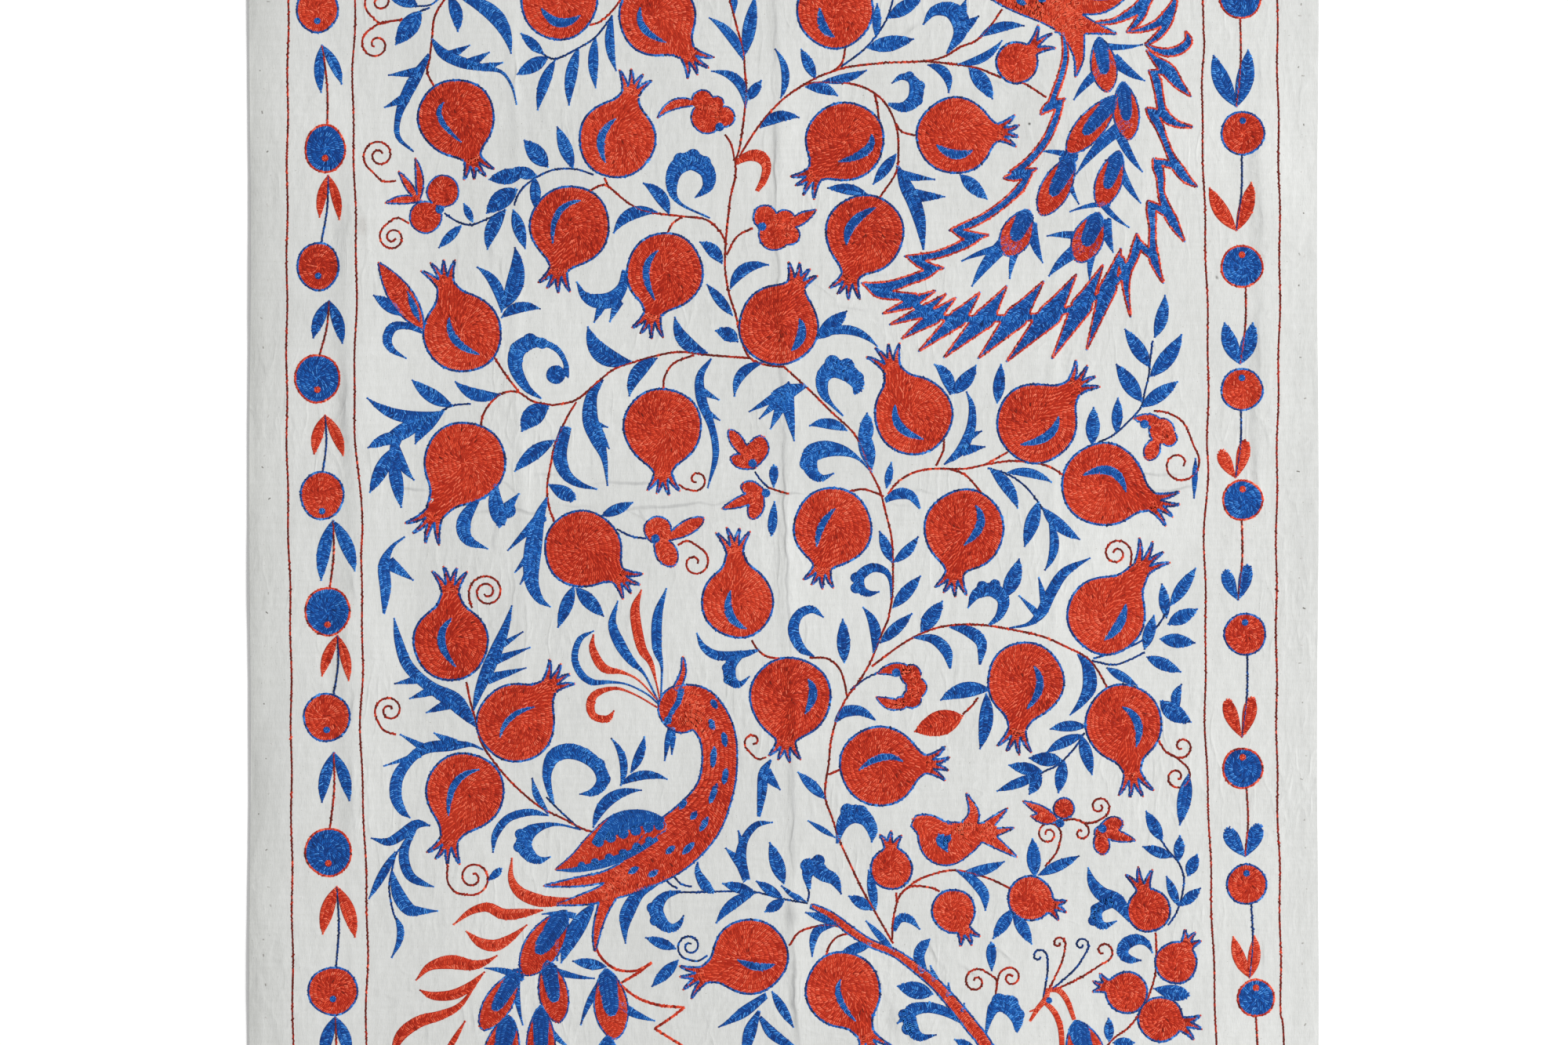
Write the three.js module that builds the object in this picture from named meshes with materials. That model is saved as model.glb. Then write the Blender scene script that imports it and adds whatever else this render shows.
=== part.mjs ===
// A large suzani: one cotton cloth with a turned hem, lying face up on a flat surface.
// Millimetres, +Z up. The origin is under the middle of the cloth, on the surface it lies on.
// +X runs across the cloth and +Y along its length, towards the top of the design.
import * as THREE from "three";

// Driving dimensions
const WIDTH = 1364;
const LENGTH = 2280;
const THICKNESS = 1.6;
const HEM_WIDTH = 22;
const HEM_RISE = 0.9;
const HEM_STEP = 3;

// The cut edge wanders in from a straight line by this much, over this length.
const EDGE_WAVE = 2;
const EDGE_WAVE_LENGTH = 640;

// Between the folds the cloth is divided no coarser than this.
const PLAIN_CELL = 120;

const COTTON = { color: 0xdcdcd6, roughness: 0.92, metalness: 0 };

// Folds left by storage and by lying: a crease is a pressed ridge, and a ripple is a soft rise.
// at: where the fold's line crosses the middle of the cloth.
// slant: how far the line moves over in each metre along it.
// from, to: the stretch of the line that shows.
// half: how far the rise spreads to either side.
// rise: its height at the line.
const LENGTHWISE_FOLDS = [
  { kind: "ripple", at: -648, slant: 0, from: -1140, to: 1140, half: 32, rise: 3.2, seed: 0.4 },
  { kind: "ripple", at: -536, slant: 3, from: -520, to: 470, half: 42, rise: 4.4, seed: 1.3 },
  { kind: "crease", at: -336, slant: -14, from: -420, to: 700, half: 30, rise: 2.6, seed: 2.2 },
  { kind: "crease", at: 3, slant: -20, from: -1140, to: 1140, half: 30, rise: 4.8, seed: 0.0 },
  { kind: "crease", at: 344, slant: 8, from: -300, to: 520, half: 30, rise: 2.2, seed: 3.1 },
  { kind: "ripple", at: 618, slant: 4, from: -40, to: 560, half: 40, rise: 4.2, seed: 4.0 },
];
const CROSSWISE_FOLDS = [
  { kind: "crease", at: 572, slant: -10, from: -560, to: 420, half: 28, rise: 2.2, seed: 5.2 },
  { kind: "crease", at: -6, slant: 14, from: -682, to: 682, half: 26, rise: 3.8, seed: 1.7 },
  { kind: "crease", at: -598, slant: 9, from: -460, to: 330, half: 28, rise: 2.4, seed: 2.9 },
];

// A fold fades out over this length at each end of the stretch where it shows.
const FADE = 140;

// A fold's line wanders to either side by this much, and its height is uneven along it.
const WANDER = 4;
const WANDER_LENGTH = 430;
const UNEVENNESS = 0.4;
const UNEVEN_LENGTH = 260;

// Lines of points across a fold, as shares of its half spread.
const FOLD_LINES = [-1, -0.5, -0.18, 0, 0.18, 0.5, 1];

const METRE = 1000;
const turn = (along, length, seed) => Math.sin((2 * Math.PI * along) / length + seed);

// Where the fold's line is, at a place along it.
function lineOf(fold, along) {
  return fold.at + (fold.slant * along) / METRE + WANDER * turn(along, WANDER_LENGTH, fold.seed);
}

// How much of the fold's height stands at a place along it, from 0 to 1.
function strengthOf(fold, along) {
  const inside = Math.min(along - fold.from, fold.to - along);
  const fade = THREE.MathUtils.smoothstep(inside, 0, FADE);
  const uneven = 1 - UNEVENNESS * (0.5 + 0.5 * turn(along, UNEVEN_LENGTH, 2 * fold.seed));
  return fade * uneven;
}

// The rise across a fold: pointed at the line of a crease, round at the top of a ripple.
function profileOf(fold, across) {
  const share = Math.min(1, Math.abs(across) / fold.half);
  return fold.kind === "crease" ? (1 - share) ** 1.6 : 0.5 + 0.5 * Math.cos(Math.PI * share);
}

function riseOf(fold, along, across) {
  return fold.rise * strengthOf(fold, along) * profileOf(fold, across - lineOf(fold, along));
}

// The height of the cloth's underside above the surface it lies on.
function liftAt(x, y) {
  const lengthwise = LENGTHWISE_FOLDS.map((fold) => riseOf(fold, y, x));
  const crosswise = CROSSWISE_FOLDS.map((fold) => riseOf(fold, x, y));
  return Math.max(0, ...lengthwise, ...crosswise);
}

// The turned hem stands a little thicker than the rest of the cloth.
function hemRiseAt(x, y) {
  const inward = Math.min(WIDTH / 2 - Math.abs(x), LENGTH / 2 - Math.abs(y));
  return HEM_RISE * (1 - THREE.MathUtils.smoothstep(inward, HEM_WIDTH, HEM_WIDTH + HEM_STEP));
}

// Lines of points from one edge of the cloth to the other: the hem's lines, the lines of each
// fold, which follow it, and plain lines in the gaps that are left.
function linesAcross(span, folds) {
  const edge = span / 2;
  const hem = [edge, edge - HEM_WIDTH, edge - HEM_WIDTH - HEM_STEP];
  const fixed = [...hem.map((at) => -at), ...hem].map((at) => ({ at, place: () => at }));
  const following = folds.flatMap((fold) =>
    FOLD_LINES.map((share) => ({
      at: fold.at + share * fold.half,
      place: (along) => lineOf(fold, along) + share * fold.half,
    })),
  );
  const inside = following.filter(({ at }) => Math.abs(at) < edge - HEM_WIDTH - 3 * HEM_STEP);
  const lines = [...fixed, ...inside].sort((a, b) => a.at - b.at);
  const filled = [];
  lines.forEach((line, index) => {
    filled.push(line);
    const next = lines[index + 1];
    const gap = next ? next.at - line.at : 0;
    const parts = Math.ceil(gap / PLAIN_CELL);
    for (let part = 1; part < parts; part++) {
      const at = line.at + (gap * part) / parts;
      filled.push({ at, place: () => at });
    }
  });
  return filled;
}

// The edge lies a little inside the straight line of the cut.
function edgeInset(along, seed) {
  return EDGE_WAVE * (0.5 - 0.5 * Math.cos((2 * Math.PI * along) / EDGE_WAVE_LENGTH + seed));
}

// One closed sheet: a thin box whose two faces are divided along those lines and raised in them.
function clothGeometry() {
  const columns = linesAcross(WIDTH, LENGTHWISE_FOLDS);
  const rows = linesAcross(LENGTH, CROSSWISE_FOLDS);
  const across = columns.length - 1;
  const along = rows.length - 1;
  const sheet = new THREE.BoxGeometry(WIDTH, LENGTH, THICKNESS, across, along, 1);
  const points = sheet.getAttribute("position");
  for (let i = 0; i < points.count; i++) {
    const column = columns[Math.round((points.getX(i) / WIDTH + 0.5) * across)];
    const row = rows[Math.round((points.getY(i) / LENGTH + 0.5) * along)];
    const x = column.place(row.at);
    const y = row.place(column.at);
    const top = points.getZ(i) > 0 ? THICKNESS + hemRiseAt(x, y) : 0;
    const insetX = Math.abs(column.at) === WIDTH / 2 ? edgeInset(y, 0) * Math.sign(x) : 0;
    const insetY = Math.abs(row.at) === LENGTH / 2 ? edgeInset(x, Math.PI / 3) * Math.sign(y) : 0;
    points.setXYZ(i, x - insetX, y - insetY, liftAt(x, y) + top);
  }
  sheet.computeVertexNormals();
  return sheet;
}

const cloth = new THREE.Mesh(clothGeometry(), new THREE.MeshStandardMaterial(COTTON));
cloth.name = "suzani_cloth";

const suzani = new THREE.Group();
suzani.add(cloth);

export default suzani;
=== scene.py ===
"""A large suzani: a cotton cloth embroidered in red and blue silk, lying face up on a pale floor."""

import bpy
import numpy as np
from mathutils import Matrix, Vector


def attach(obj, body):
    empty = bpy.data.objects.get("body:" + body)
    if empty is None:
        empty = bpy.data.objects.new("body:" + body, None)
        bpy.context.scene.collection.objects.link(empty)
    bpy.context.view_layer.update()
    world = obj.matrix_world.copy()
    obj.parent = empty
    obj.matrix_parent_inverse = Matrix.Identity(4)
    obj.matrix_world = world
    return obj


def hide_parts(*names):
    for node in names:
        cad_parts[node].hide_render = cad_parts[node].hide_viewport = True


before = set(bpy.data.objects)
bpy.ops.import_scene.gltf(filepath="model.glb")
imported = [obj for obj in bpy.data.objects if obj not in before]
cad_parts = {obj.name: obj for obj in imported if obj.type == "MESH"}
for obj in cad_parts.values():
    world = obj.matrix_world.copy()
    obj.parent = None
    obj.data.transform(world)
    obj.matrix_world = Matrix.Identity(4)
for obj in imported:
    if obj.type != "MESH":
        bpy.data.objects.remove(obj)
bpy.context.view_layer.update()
rng = np.random.default_rng(1408)

MM = 0.001
METRE = 1000
TINY = 1e-6
NEARLY_LEVEL = 1e-9

# Cloth, in millimetres
WIDTH = 1364
LENGTH = 2280
THICKNESS = 1.6
HEM_WIDTH = 22
HEM_RISE = 0.9
SOFT_HEM_STEP = 26
EDGE_WAVE = 2
EDGE_WAVE_LENGTH = 640
EDGE_WAVE_SHIFT = np.pi / 3
CELL = 11
FINE_CELL = 4

# Folds, in millimetres: kind, at, slant, from, to, spread before the line, spread after it, rise, seed
LENGTHWISE_FOLDS = (
    ("roll", -632, 0, -1140, 1140, 50, 170, 4.2, 0.4),
    ("ripple", -548, 3, -520, 470, 30, 84, 3.2, 1.3),
    ("crease", -336, -14, -420, 700, 15, 15, 1.1, 2.2),
    ("crease", 3, -20, -1140, 1140, 12, 30, 1.7, 0.0),
    ("crease", 344, 8, -300, 520, 14, 14, 0.9, 3.1),
    ("ripple", 612, 4, -40, 560, 24, 60, 2.4, 4.0),
)
CROSSWISE_FOLDS = (
    ("crease", 572, -10, -560, 420, 14, 14, 0.9, 5.2),
    ("crease", -6, 14, -682, 682, 14, 14, 1.6, 1.7),
    ("crease", -598, 9, -460, 330, 14, 14, 1.0, 2.9),
)
FADE = 140
WANDER = 4
WANDER_LENGTH = 430
UNEVENNESS = 0.4
UNEVEN_LENGTH = 260
CREASE_ROUNDING = 0.16
CREASE_SHARPNESS = 1.6

# Slack between the folds, in millimetres: its rises, the part of them that is pressed flat, its ripples
WIDE_SLACK = 0.35
CLOSE_SLACK = 0.12
SLACK_PRESSED = 0.3
WIDE_RIPPLES = (61, 1.7, 97, 73, 1.3, 89)
CLOSE_RIPPLES = (23, 2.1, 41, 27, 1.9, 37)

# Stitches, in millimetres
STITCH_PITCH = 2.4
STITCH_WIDTH = 2.5
STITCH_RISE = 0.85
STITCH_OVERLAP = 0.4
SHORTEST_STITCH = 2.4
ROW_WIDTH = 5.6
FEWEST_IN_RING = 5
LINE_PITCH = 3.7
LINE_RISE = 0.62
EDGE_STEP = 1.5
EDGE_RISE = 1.15
GROUND_STEP = 7
GROUND_RISE = 0.4
LEVEL_RISE = 0.35

# Stitches, in shares: lean along a band and round a middle, shift from ring to ring, overlap along a line
BAND_LEAN = 0.5
ROUND_LEAN = 0.4
RING_SHIFT = 0.37
LINE_OVERLAP = 1.3
SHORTEST_RUN = 3

# One stitch, in shares of its half length, half width and rise
STITCH_POINTS = np.array(
    [(-1, -0.85, 0), (1, -0.85, 0), (1, 0.85, 0), (-1, 0.85, 0), (-0.5, 0, 1), (0.5, 0, 1)]
)
STITCH_LOOPS = np.array([0, 1, 5, 4, 2, 3, 4, 5, 1, 2, 5, 3, 0, 4])
STITCH_SIZES = np.array([4, 4, 3, 3])
STITCH_SINK = 0.25
STITCH_LIFT = 0.2

# Unevenness of single stitches, in shares
STITCH_SWING = 0.22
LENGTH_RANGE = (0.88, 1.12)
WIDTH_RANGE = (0.86, 1.1)
RISE_RANGE = (0.75, 1.2)

# Hem stitches, in millimetres
HEM_STITCH_INSET = 21
HEM_STITCH_PITCH = 37
HEM_STITCH_LENGTHS = (1.6, 4.6)
HEM_STITCH_WIDTH = 2.2
HEM_STITCH_RISE = 0.12
HEM_STITCH_TONE = 0.7
HEM_CORNER = 60
HEM_STRAY_ALONG = 10
HEM_STRAY_ACROSS = 3

# Widths of lines and of edges, in millimetres
RED_STEM_WIDTH = 3.6
BLUE_STEM_WIDTH = 3.3
TENDRIL_WIDTH = 3.5
ZIGZAG_WIDTH = 4.4
BORDER_WIDTH = 3.15
PAIR_STEM_WIDTH = 3.1
PLAIN_EDGE = 3.7
INLAY_EDGE = 2.2
FRUIT_EDGE = 4.4
BUD_EDGE = 3.3
FEATHER_EDGE = 3.9
BEAD_EDGE = 3.9
PEACOCK_EDGE = 3.8
WING_EDGE = 3.2
BIRD_EDGE = 3.5
STRIPED_EDGE = 3.5

# Tones of thread, from -2 deep to 1 light
STEM_TONE = -1.55
BORDER_TONE = -1.8
ZIGZAG_TONE = -0.9
EDGE_TONE = -0.6
FRUIT_EDGE_TONE = -0.8
INLAY_EDGE_TONE = -0.1
# The ground is darker than its stitches: painted shade in the gaps between them
GAP_PAINTED_SHADE_TONE = -0.95
SEPAL_TONE = -0.3
INLAY_TONE = 0.1
WING_TONE = 0.1
WING_FEATHER_TONE = 0.25
CALYX_TONE = 0.3
SPOT_TONE = 0.2
MIDDLE_TONE = -0.16
ROW_DEPTH = 0.9

# Unevenness of tone: from stitch to stitch, of two together, by heading as painted sheen, in patches and over
# the cloth
STITCH_TONE = 0.6
PAIR_TONE = 0.12
PAINTED_SHEEN_TONE = 0.16
PAINTED_SHEEN_HEADING = 0.9
PATCH_TONE = 0.1
DRIFT_TONE = 0.14
PATCH_RIPPLES = (13, 1.7, 19, 15, 1.4, 17)
DRIFT_RIPPLES = (83, 1, 61, 97, 1, 71)

# Points along curves, the least widths of bands in millimetres, and the fullness of tips
SPAN_POINTS = 16
BLADE_POINTS = 25
CRESCENT_POINTS = 17
CURL_POINTS = 60
ROUND_POINTS = 160
RIBBON_TIP = 0.5
BLADE_TIP = 0.6
CRESCENT_TIP = 0.8
CRESCENT_FULLNESS = 0.7
BLUNT_TIP = 0.999

# Round shapes: spread and fall of a neck, waves that make them uneven, sides of their ground
NECK_SPREAD = 0.205
NECK_FALL = 3.2
THREE_WAVES = 0.012
FIVE_WAVES = 0.008
SMALL_ROUND = 20
SMALL_ROUND_SIDES = 16
ROUND_SIDES = 48

# Curls of tendrils: share of the radius lost to the centre, and how evenly
CURL_LOSS = 0.8
CURL_EVENNESS = 0.9

# Fruit, in shares of the radius or of the reach to the crown's tip
SMALL_FRUIT = 35
NECK_OF_REACH = 0.75
SEPAL_OF_REACH = 0.34
SEPAL_OF_RADIUS = 0.12
SEPAL_ROOT = 3
SMALL_NECK_OF_RADIUS = 1.1
SMALL_CROWN_OF_RADIUS = 0.95
SMALL_SEPAL_OF_RADIUS = 0.34
SEPAL_SPACING = 0.13
SEPAL_BOW = 0.06

# Buds, beads and leaf pairs, in millimetres
WIDE_PETAL = 15
CALYX_SIZE = 5.5
BEAD_SPOT = 4.2
PAIR_BOW = 0.05
PAIR_STEM_BOW = 3

# Tail feathers: share of a barb under its feather, a barb's bow, and the blue of an eye
BARB_ROOT = 0.25
BARB_BOW = 0.05
BARB_GROWTH = 1
EYE_DEPTH = 0.68
EYE_ROUNDNESS = 5
EYE_NARROWING = 0.45
EYE_NARROWS = (0.08, 0.4)
EYE_POINTS = 17

# Flames of the tail: places between the tips and the waist, and widths there, in shares
FLAME_UPPER = (0.3, 0.7)
FLAME_LOWER = (0.65, 0.35)
FLAME_SHOULDER = 0.68
FLAME_WAIST = 1.06

# Peacocks, in millimetres
PEACOCK_HEAD_SIZE = 30
PEACOCK_EYE_SIZE = 4.5
PEACOCK_SPOT_WIDTH = 7

# Border lines waver by hand, and the end borders repeat, in millimetres
BORDER_STEP = 8
BORDER_WAVER = 0.7
BORDER_WAVER_ALONG = 19
BORDER_WAVER_ACROSS = 23
END_BEAD_COUNT = 9
END_BEAD_SIZE = 27
END_BEAD_SPOT = 14
END_PAIR_GAP = 34
END_PAIR_LENGTH = 52
END_PAIR_SPREAD = 15
END_PAIR_WIDTH = 16


def linear(red, green, blue):
    """Linear colour from screen values of 0 to 255."""
    values = np.array([red, green, blue]) / 255
    return tuple(np.where(values <= 0.04045, values / 12.92, ((values + 0.055) / 1.055) ** 2.4))


# Threads: a colour for each tone, the shade of the grain, the roughness
THREADS = {
    # The hem thread's greys, darker than the cloth, are painted shade of the dimples that the hem stitches
    # pull
    "hem": {
        "deep": linear(120, 118, 114),
        "dark": linear(146, 144, 140),
        "middle": linear(184, 183, 179),
        "light": linear(204, 203, 200),
        "shade": (0.9, 0.9, 0.9),
        "roughness": 0.9,
    },
    "red": {
        "deep": linear(102, 26, 14),
        "dark": linear(170, 36, 14),
        "middle": linear(231, 81, 49),
        "light": linear(244, 124, 94),
        "shade": (0.72, 0.56, 0.5),
        "roughness": 0.36,
    },
    "blue": {
        "deep": linear(12, 38, 82),
        "dark": linear(6, 58, 130),
        "middle": linear(24, 106, 194),
        "light": linear(82, 158, 232),
        "shade": (0.54, 0.64, 0.72),
        "roughness": 0.36,
    },
}
TONES = (-2, -1, 0, 1)
TONE_NAMES = ("deep", "dark", "middle", "light")
SILK_SPECULAR = 0.24
SILK_DETAIL = 2
GRAIN_SCALE = 420
GRAIN_RANGE = (0.3, 0.56)
TWIST_SCALE = 900
TWIST_STRENGTH = 0.25
TWIST_DEPTH = 0.0004

# Cotton: its colours, then shares of the light that thick threads, specks, painted shade of wrinkles, creases
# and the left margin, and stains leave
WHITE = (1, 1, 1)
BLACK = (0, 0, 0)
COTTON_SHADE = linear(208, 209, 207)
COTTON_LIGHT = linear(217, 218, 216)
SLUB_SHADE = (0.957, 0.957, 0.952)
SPECK_SHADE = (0.66, 0.65, 0.62)
PAINTED_WRINKLE_SHADE = (0.87, 0.87, 0.875)
PAINTED_CREASE_SHADE = (0.87, 0.87, 0.875)
PAINTED_LEFT_SHADE = (0.93, 0.93, 0.92)
STAIN_WARMTH = (1, 0.98, 0.97)
COTTON_ROUGHNESS = 0.92
COTTON_SPECULAR = 0.2
COTTON_SHEEN = 0.1

# Cotton's patterns: scales of noise and its stretch, and the values between which a shade fades
COTTON_DETAIL = 4
MOTTLE_SCALE = 3.5
SLUB_SCALE = 46
WEFT_STRETCH = (0.35, 5, 1)
WARP_STRETCH = (5, 0.35, 1)
SHADE_RANGE = (0.3, 0.7)
SPECK_SCALE = 420
SPECK_RANGE = (0.2, 0.25)
STAIN_REACH = 0.5
PAINTED_CREASE_REACH = 0.3
# Width in metres of the painted shade along the left edge
PAINTED_LEFT_SHADE_WIDTH = 0.06
STRAY = 0.012
STRAY_SCALE = 30

# Cotton's relief in millimetres: scale, detail, stretch and rise of noise; stretch, place and rise of creases
WRINKLE_RISE = 0.6
UNEVEN_CLOTH = ((17, 3, (1.3, 0.8, 1), 1.4), (60, 3, (1.3, 0.8, 1), 0.78))
WEAVE = ((700, 2, (0.2, 1.4, 1), 0.15), (700, 2, (1.4, 0.2, 1), 0.15))
FINE_CREASES = (((1.7, 0.5, 1), 3.0, 0.26), ((0.7, 1.3, 1), 8.0, 0.2))
FINE_CREASE_SCALE = 22
FINE_CREASE_WIDTH = 0.06
FINE_PATCH_SCALE = 7
FINE_PATCH_RANGE = (0.45, 0.65)

# Stage, in metres
FLOOR_SIZE = 60.0
FLOOR_COLOUR = (0.99, 0.99, 0.99, 1)
FLOOR_ROUGHNESS = 0.9
FLOOR_SPECULAR = 0.1
FLOOR_GLOW = 0.06
CAMERA_HEIGHT = 12.0
CAMERA_REACH = 100
PICTURE_WIDTH = 2.0
SENSOR = 36.0
KEY_PLACE = (12.2, 1.0, 8.6)
KEY_SIZE = 4.8
KEY_POWER = 2680
WORLD_STRENGTH = 0.42

# The design is charted in millimetres, u to the right and v down the cloth.
CHART_MIDDLE_U = 1000
CHART_MIDDLE_V = 630
PICTURE_MIDDLE_V = 666.5

# Chart of the cloth's small wrinkles, raised in relief and darkened with painted shade: u, v, heading in
# degrees, length, width, rise
WRINKLES = (
    # along the middle
    (990, 230, 89, 470, 9, 0.9), (991, 380, 90, 170, 8, 0.9), (970, 60, 90, 130, 8, 0.4),
    (976, 185, 91, 150, 7, 0.4), (953, 300, 92, 110, 7, 0.45), (996, 500, 90, 120, 8, 0.7),
    (1003, 680, 88, 330, 8, 1.0), (994, 725, 89, 180, 7, 0.5), (1011, 1060, 88, 240, 9, 1.1),
    (1008, 1165, 92, 50, 20, 1.2), (1016, 1270, 87, 190, 14, 1.5),
    # beside the beads on the left
    (442, 515, 89, 240, 26, 1.6), (450, 745, 80, 90, 18, 1.0), (451, 900, 88, 110, 16, 1.0),
    (450, 1000, 89, 130, 16, 1.1), (444, 1250, 95, 170, 22, 0.8),
    # left half
    (657, 95, 88, 110, 9, 0.9), (628, 320, 85, 80, 14, 0.7), (640, 345, 88, 60, 9, 0.6),
    (585, 335, 80, 90, 12, 0.5), (655, 760, 88, 130, 8, 0.6), (672, 800, 88, 150, 8, 0.6),
    (635, 670, 90, 60, 8, 0.6), (688, 560, 95, 90, 8, 0.4), (605, 1300, 82, 90, 12, 0.8),
    (590, 1290, 85, 100, 10, 0.6), (545, 1320, 88, 60, 10, 0.5), (700, 1060, 85, 60, 12, 0.8),
    (497, 880, 90, 60, 8, 0.4), (525, 623, 12, 60, 7, 0.8), (655, 651, 2, 130, 7, 0.9),
    (735, 645, 3, 110, 7, 0.7), (815, 616, 0, 100, 8, 1.0), (870, 644, -4, 190, 8, 0.9),
    (810, 655, 30, 50, 7, 0.7), (920, 30, 10, 60, 7, 0.5),
    # right half
    (1004, 629, 5, 60, 6, 0.8), (1462, 605, 2, 60, 7, 0.9), (1500, 625, -6, 70, 7, 0.9),
    (1150, 645, 12, 70, 7, 0.5), (1090, 392, 5, 80, 9, 0.9), (1120, 350, -15, 80, 8, 0.7),
    (1050, 370, 40, 70, 8, 0.6), (1163, 40, -40, 80, 12, 1.0), (1310, 95, -20, 90, 9, 0.7),
    (1275, 107, 20, 60, 8, 0.6), (1070, 240, 60, 60, 8, 0.6), (1440, 390, 100, 80, 10, 0.6),
    (1365, 460, 95, 60, 10, 0.5), (1510, 70, -10, 50, 8, 0.7), (1607, 95, 88, 90, 14, 0.7),
    (1609, 270, 88, 100, 16, 0.8), (1606, 430, 89, 110, 14, 0.7), (1602, 590, 87, 120, 16, 0.9),
    (1614, 1220, 86, 100, 14, 0.8),
    # lower middle
    (930, 1158, -4, 140, 16, 0.9), (865, 1234, -8, 130, 18, 1.0), (855, 1155, 80, 60, 10, 0.8),
    (1192, 1215, 58, 70, 12, 1.2), (1180, 1245, 60, 50, 10, 1.0), (1125, 1250, 75, 60, 10, 0.7),
    (1142, 1300, 70, 90, 26, 1.2), (1162, 1320, 60, 70, 14, 0.9), (1282, 1218, 35, 50, 10, 1.1),
    (1240, 1238, 30, 60, 12, 1.1),
)

# Chart of the cloth's stains: u, v, heading in degrees, length, width, share of the light they leave
STAINS = ((463, 288, 88, 44, 20, 0.86), (1313, 158, 0, 6, 6, 0.2), (1552, 354, 60, 9, 6, 0.5))

# Chart of painted shade along pressed creases: u, v, heading in degrees, length, width, strength
PAINTED_CREASE_LINES = (
    # along the middle
    (987, 40, 90, 200, 8, 0.5), (990, 198, 91, 150, 8, 0.6), (992, 330, 90, 140, 7, 0.7),
    (997, 483, 88, 90, 7, 0.6), (1000, 588, 90, 170, 6, 1.4), (1005, 745, 89, 290, 6, 1.5),
    (1011, 1012, 89, 170, 6, 1.1), (1014, 1085, 89, 120, 8, 0.5), (1009, 1172, 92, 60, 18, 0.5),
    (1014, 1245, 88, 150, 8, 1.0), (1019, 1312, 85, 90, 7, 0.9), (1027, 808, 88, 60, 6, 0.8),
    # across the middle
    (808, 616, 0, 150, 7, 1.0), (838, 646, -4, 220, 7, 1.0), (935, 639, -5, 90, 6, 0.5),
    (820, 661, 58, 45, 6, 0.9), (655, 653, 2, 190, 7, 0.7), (529, 624, 10, 70, 7, 0.8),
    (650, 624, 42, 45, 6, 0.8), (630, 682, 90, 60, 8, 0.7), (700, 606, 5, 60, 7, 0.5),
    (1006, 630, 6, 70, 5, 0.7), (1482, 606, 2, 90, 6, 0.9), (1500, 624, -4, 90, 6, 0.8),
    (1178, 627, 10, 50, 7, 0.5),
)

# The cloth's height


def smoothstep(value, low, high):
    share = np.clip((value - low) / (high - low), 0, 1)
    return share * share * (3 - 2 * share)


def ripples(x, y, waves):
    """Waves both ways that sway: wavelength, sway and its wavelength across, then the same along."""
    wave_x, sway_x, turn_x, wave_y, sway_y, turn_y = waves
    across = np.sin(x / wave_x + sway_x * np.sin(y / turn_x))
    return across * np.sin(y / wave_y + sway_y * np.sin(x / turn_y))


def fold_rise(fold, along, across):
    """Rise of one fold: a crease is sharp, a roll is round before its line, a ripple is soft."""
    kind, at, slant, start, end, before, after, rise, seed = fold
    ridge = at + slant * along / METRE + WANDER * np.sin(2 * np.pi * along / WANDER_LENGTH + seed)
    from_ends = np.minimum(along - start, end - along)
    uneven = 1 - UNEVENNESS * (0.5 + 0.5 * np.sin(2 * np.pi * along / UNEVEN_LENGTH + 2 * seed))
    away = across - ridge
    share = np.minimum(1, np.where(away < 0, -away / before, away / after))
    profile = 0.5 + 0.5 * np.cos(np.pi * share)
    if kind == "crease":
        blunt = np.sqrt(share**2 + CREASE_ROUNDING**2) / np.sqrt(1 + CREASE_ROUNDING**2)
        profile = (1 - blunt) ** CREASE_SHARPNESS
    elif kind == "roll":
        profile = np.where(away < 0, 1 - share**2, profile)
    return rise * smoothstep(from_ends, 0, FADE) * uneven * profile


def slack(x, y):
    """Soft waves of cloth that was pulled a little by its stitches."""
    wide = ripples(x, y, WIDE_RIPPLES)
    close = ripples(x, y, CLOSE_RIPPLES)
    return WIDE_SLACK * (1 + wide) + CLOSE_SLACK * (1 + close)


def lift(x, y):
    """Height of the cloth's underside above the floor."""
    rises = [fold_rise(fold, y, x) for fold in LENGTHWISE_FOLDS]
    rises += [fold_rise(fold, x, y) for fold in CROSSWISE_FOLDS]
    return np.maximum(0, sum(rises) + slack(x, y) - SLACK_PRESSED)


def hem_rise(x, y):
    inward = np.minimum(WIDTH / 2 - np.abs(x), LENGTH / 2 - np.abs(y))
    half_step = SOFT_HEM_STEP / 2
    return HEM_RISE * (1 - smoothstep(inward, HEM_WIDTH - half_step, HEM_WIDTH + half_step))


def cloth_top(x, y):
    return lift(x, y) + THICKNESS + hem_rise(x, y)


def grid_lines(span, folds):
    """Lines from edge to edge of the cloth, close together along its folds."""
    edge = span / 2
    lines = [-edge]
    fine = [(at, before + WANDER + 0.5 * abs(slant)) for _, at, slant, _, _, before, *_ in folds]
    while lines[-1] < edge - FINE_CELL:
        here = lines[-1]
        near = any(abs(here + CELL / 2 - at) < reach for at, reach in fine)
        lines.append(here + (FINE_CELL if near else CELL))
    lines[-1] = edge
    return np.array(lines)


COLUMNS = grid_lines(WIDTH, LENGTHWISE_FOLDS)
ROWS = grid_lines(LENGTH, CROSSWISE_FOLDS)
TOP = cloth_top(*np.meshgrid(COLUMNS, ROWS, indexing="ij"))


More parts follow.
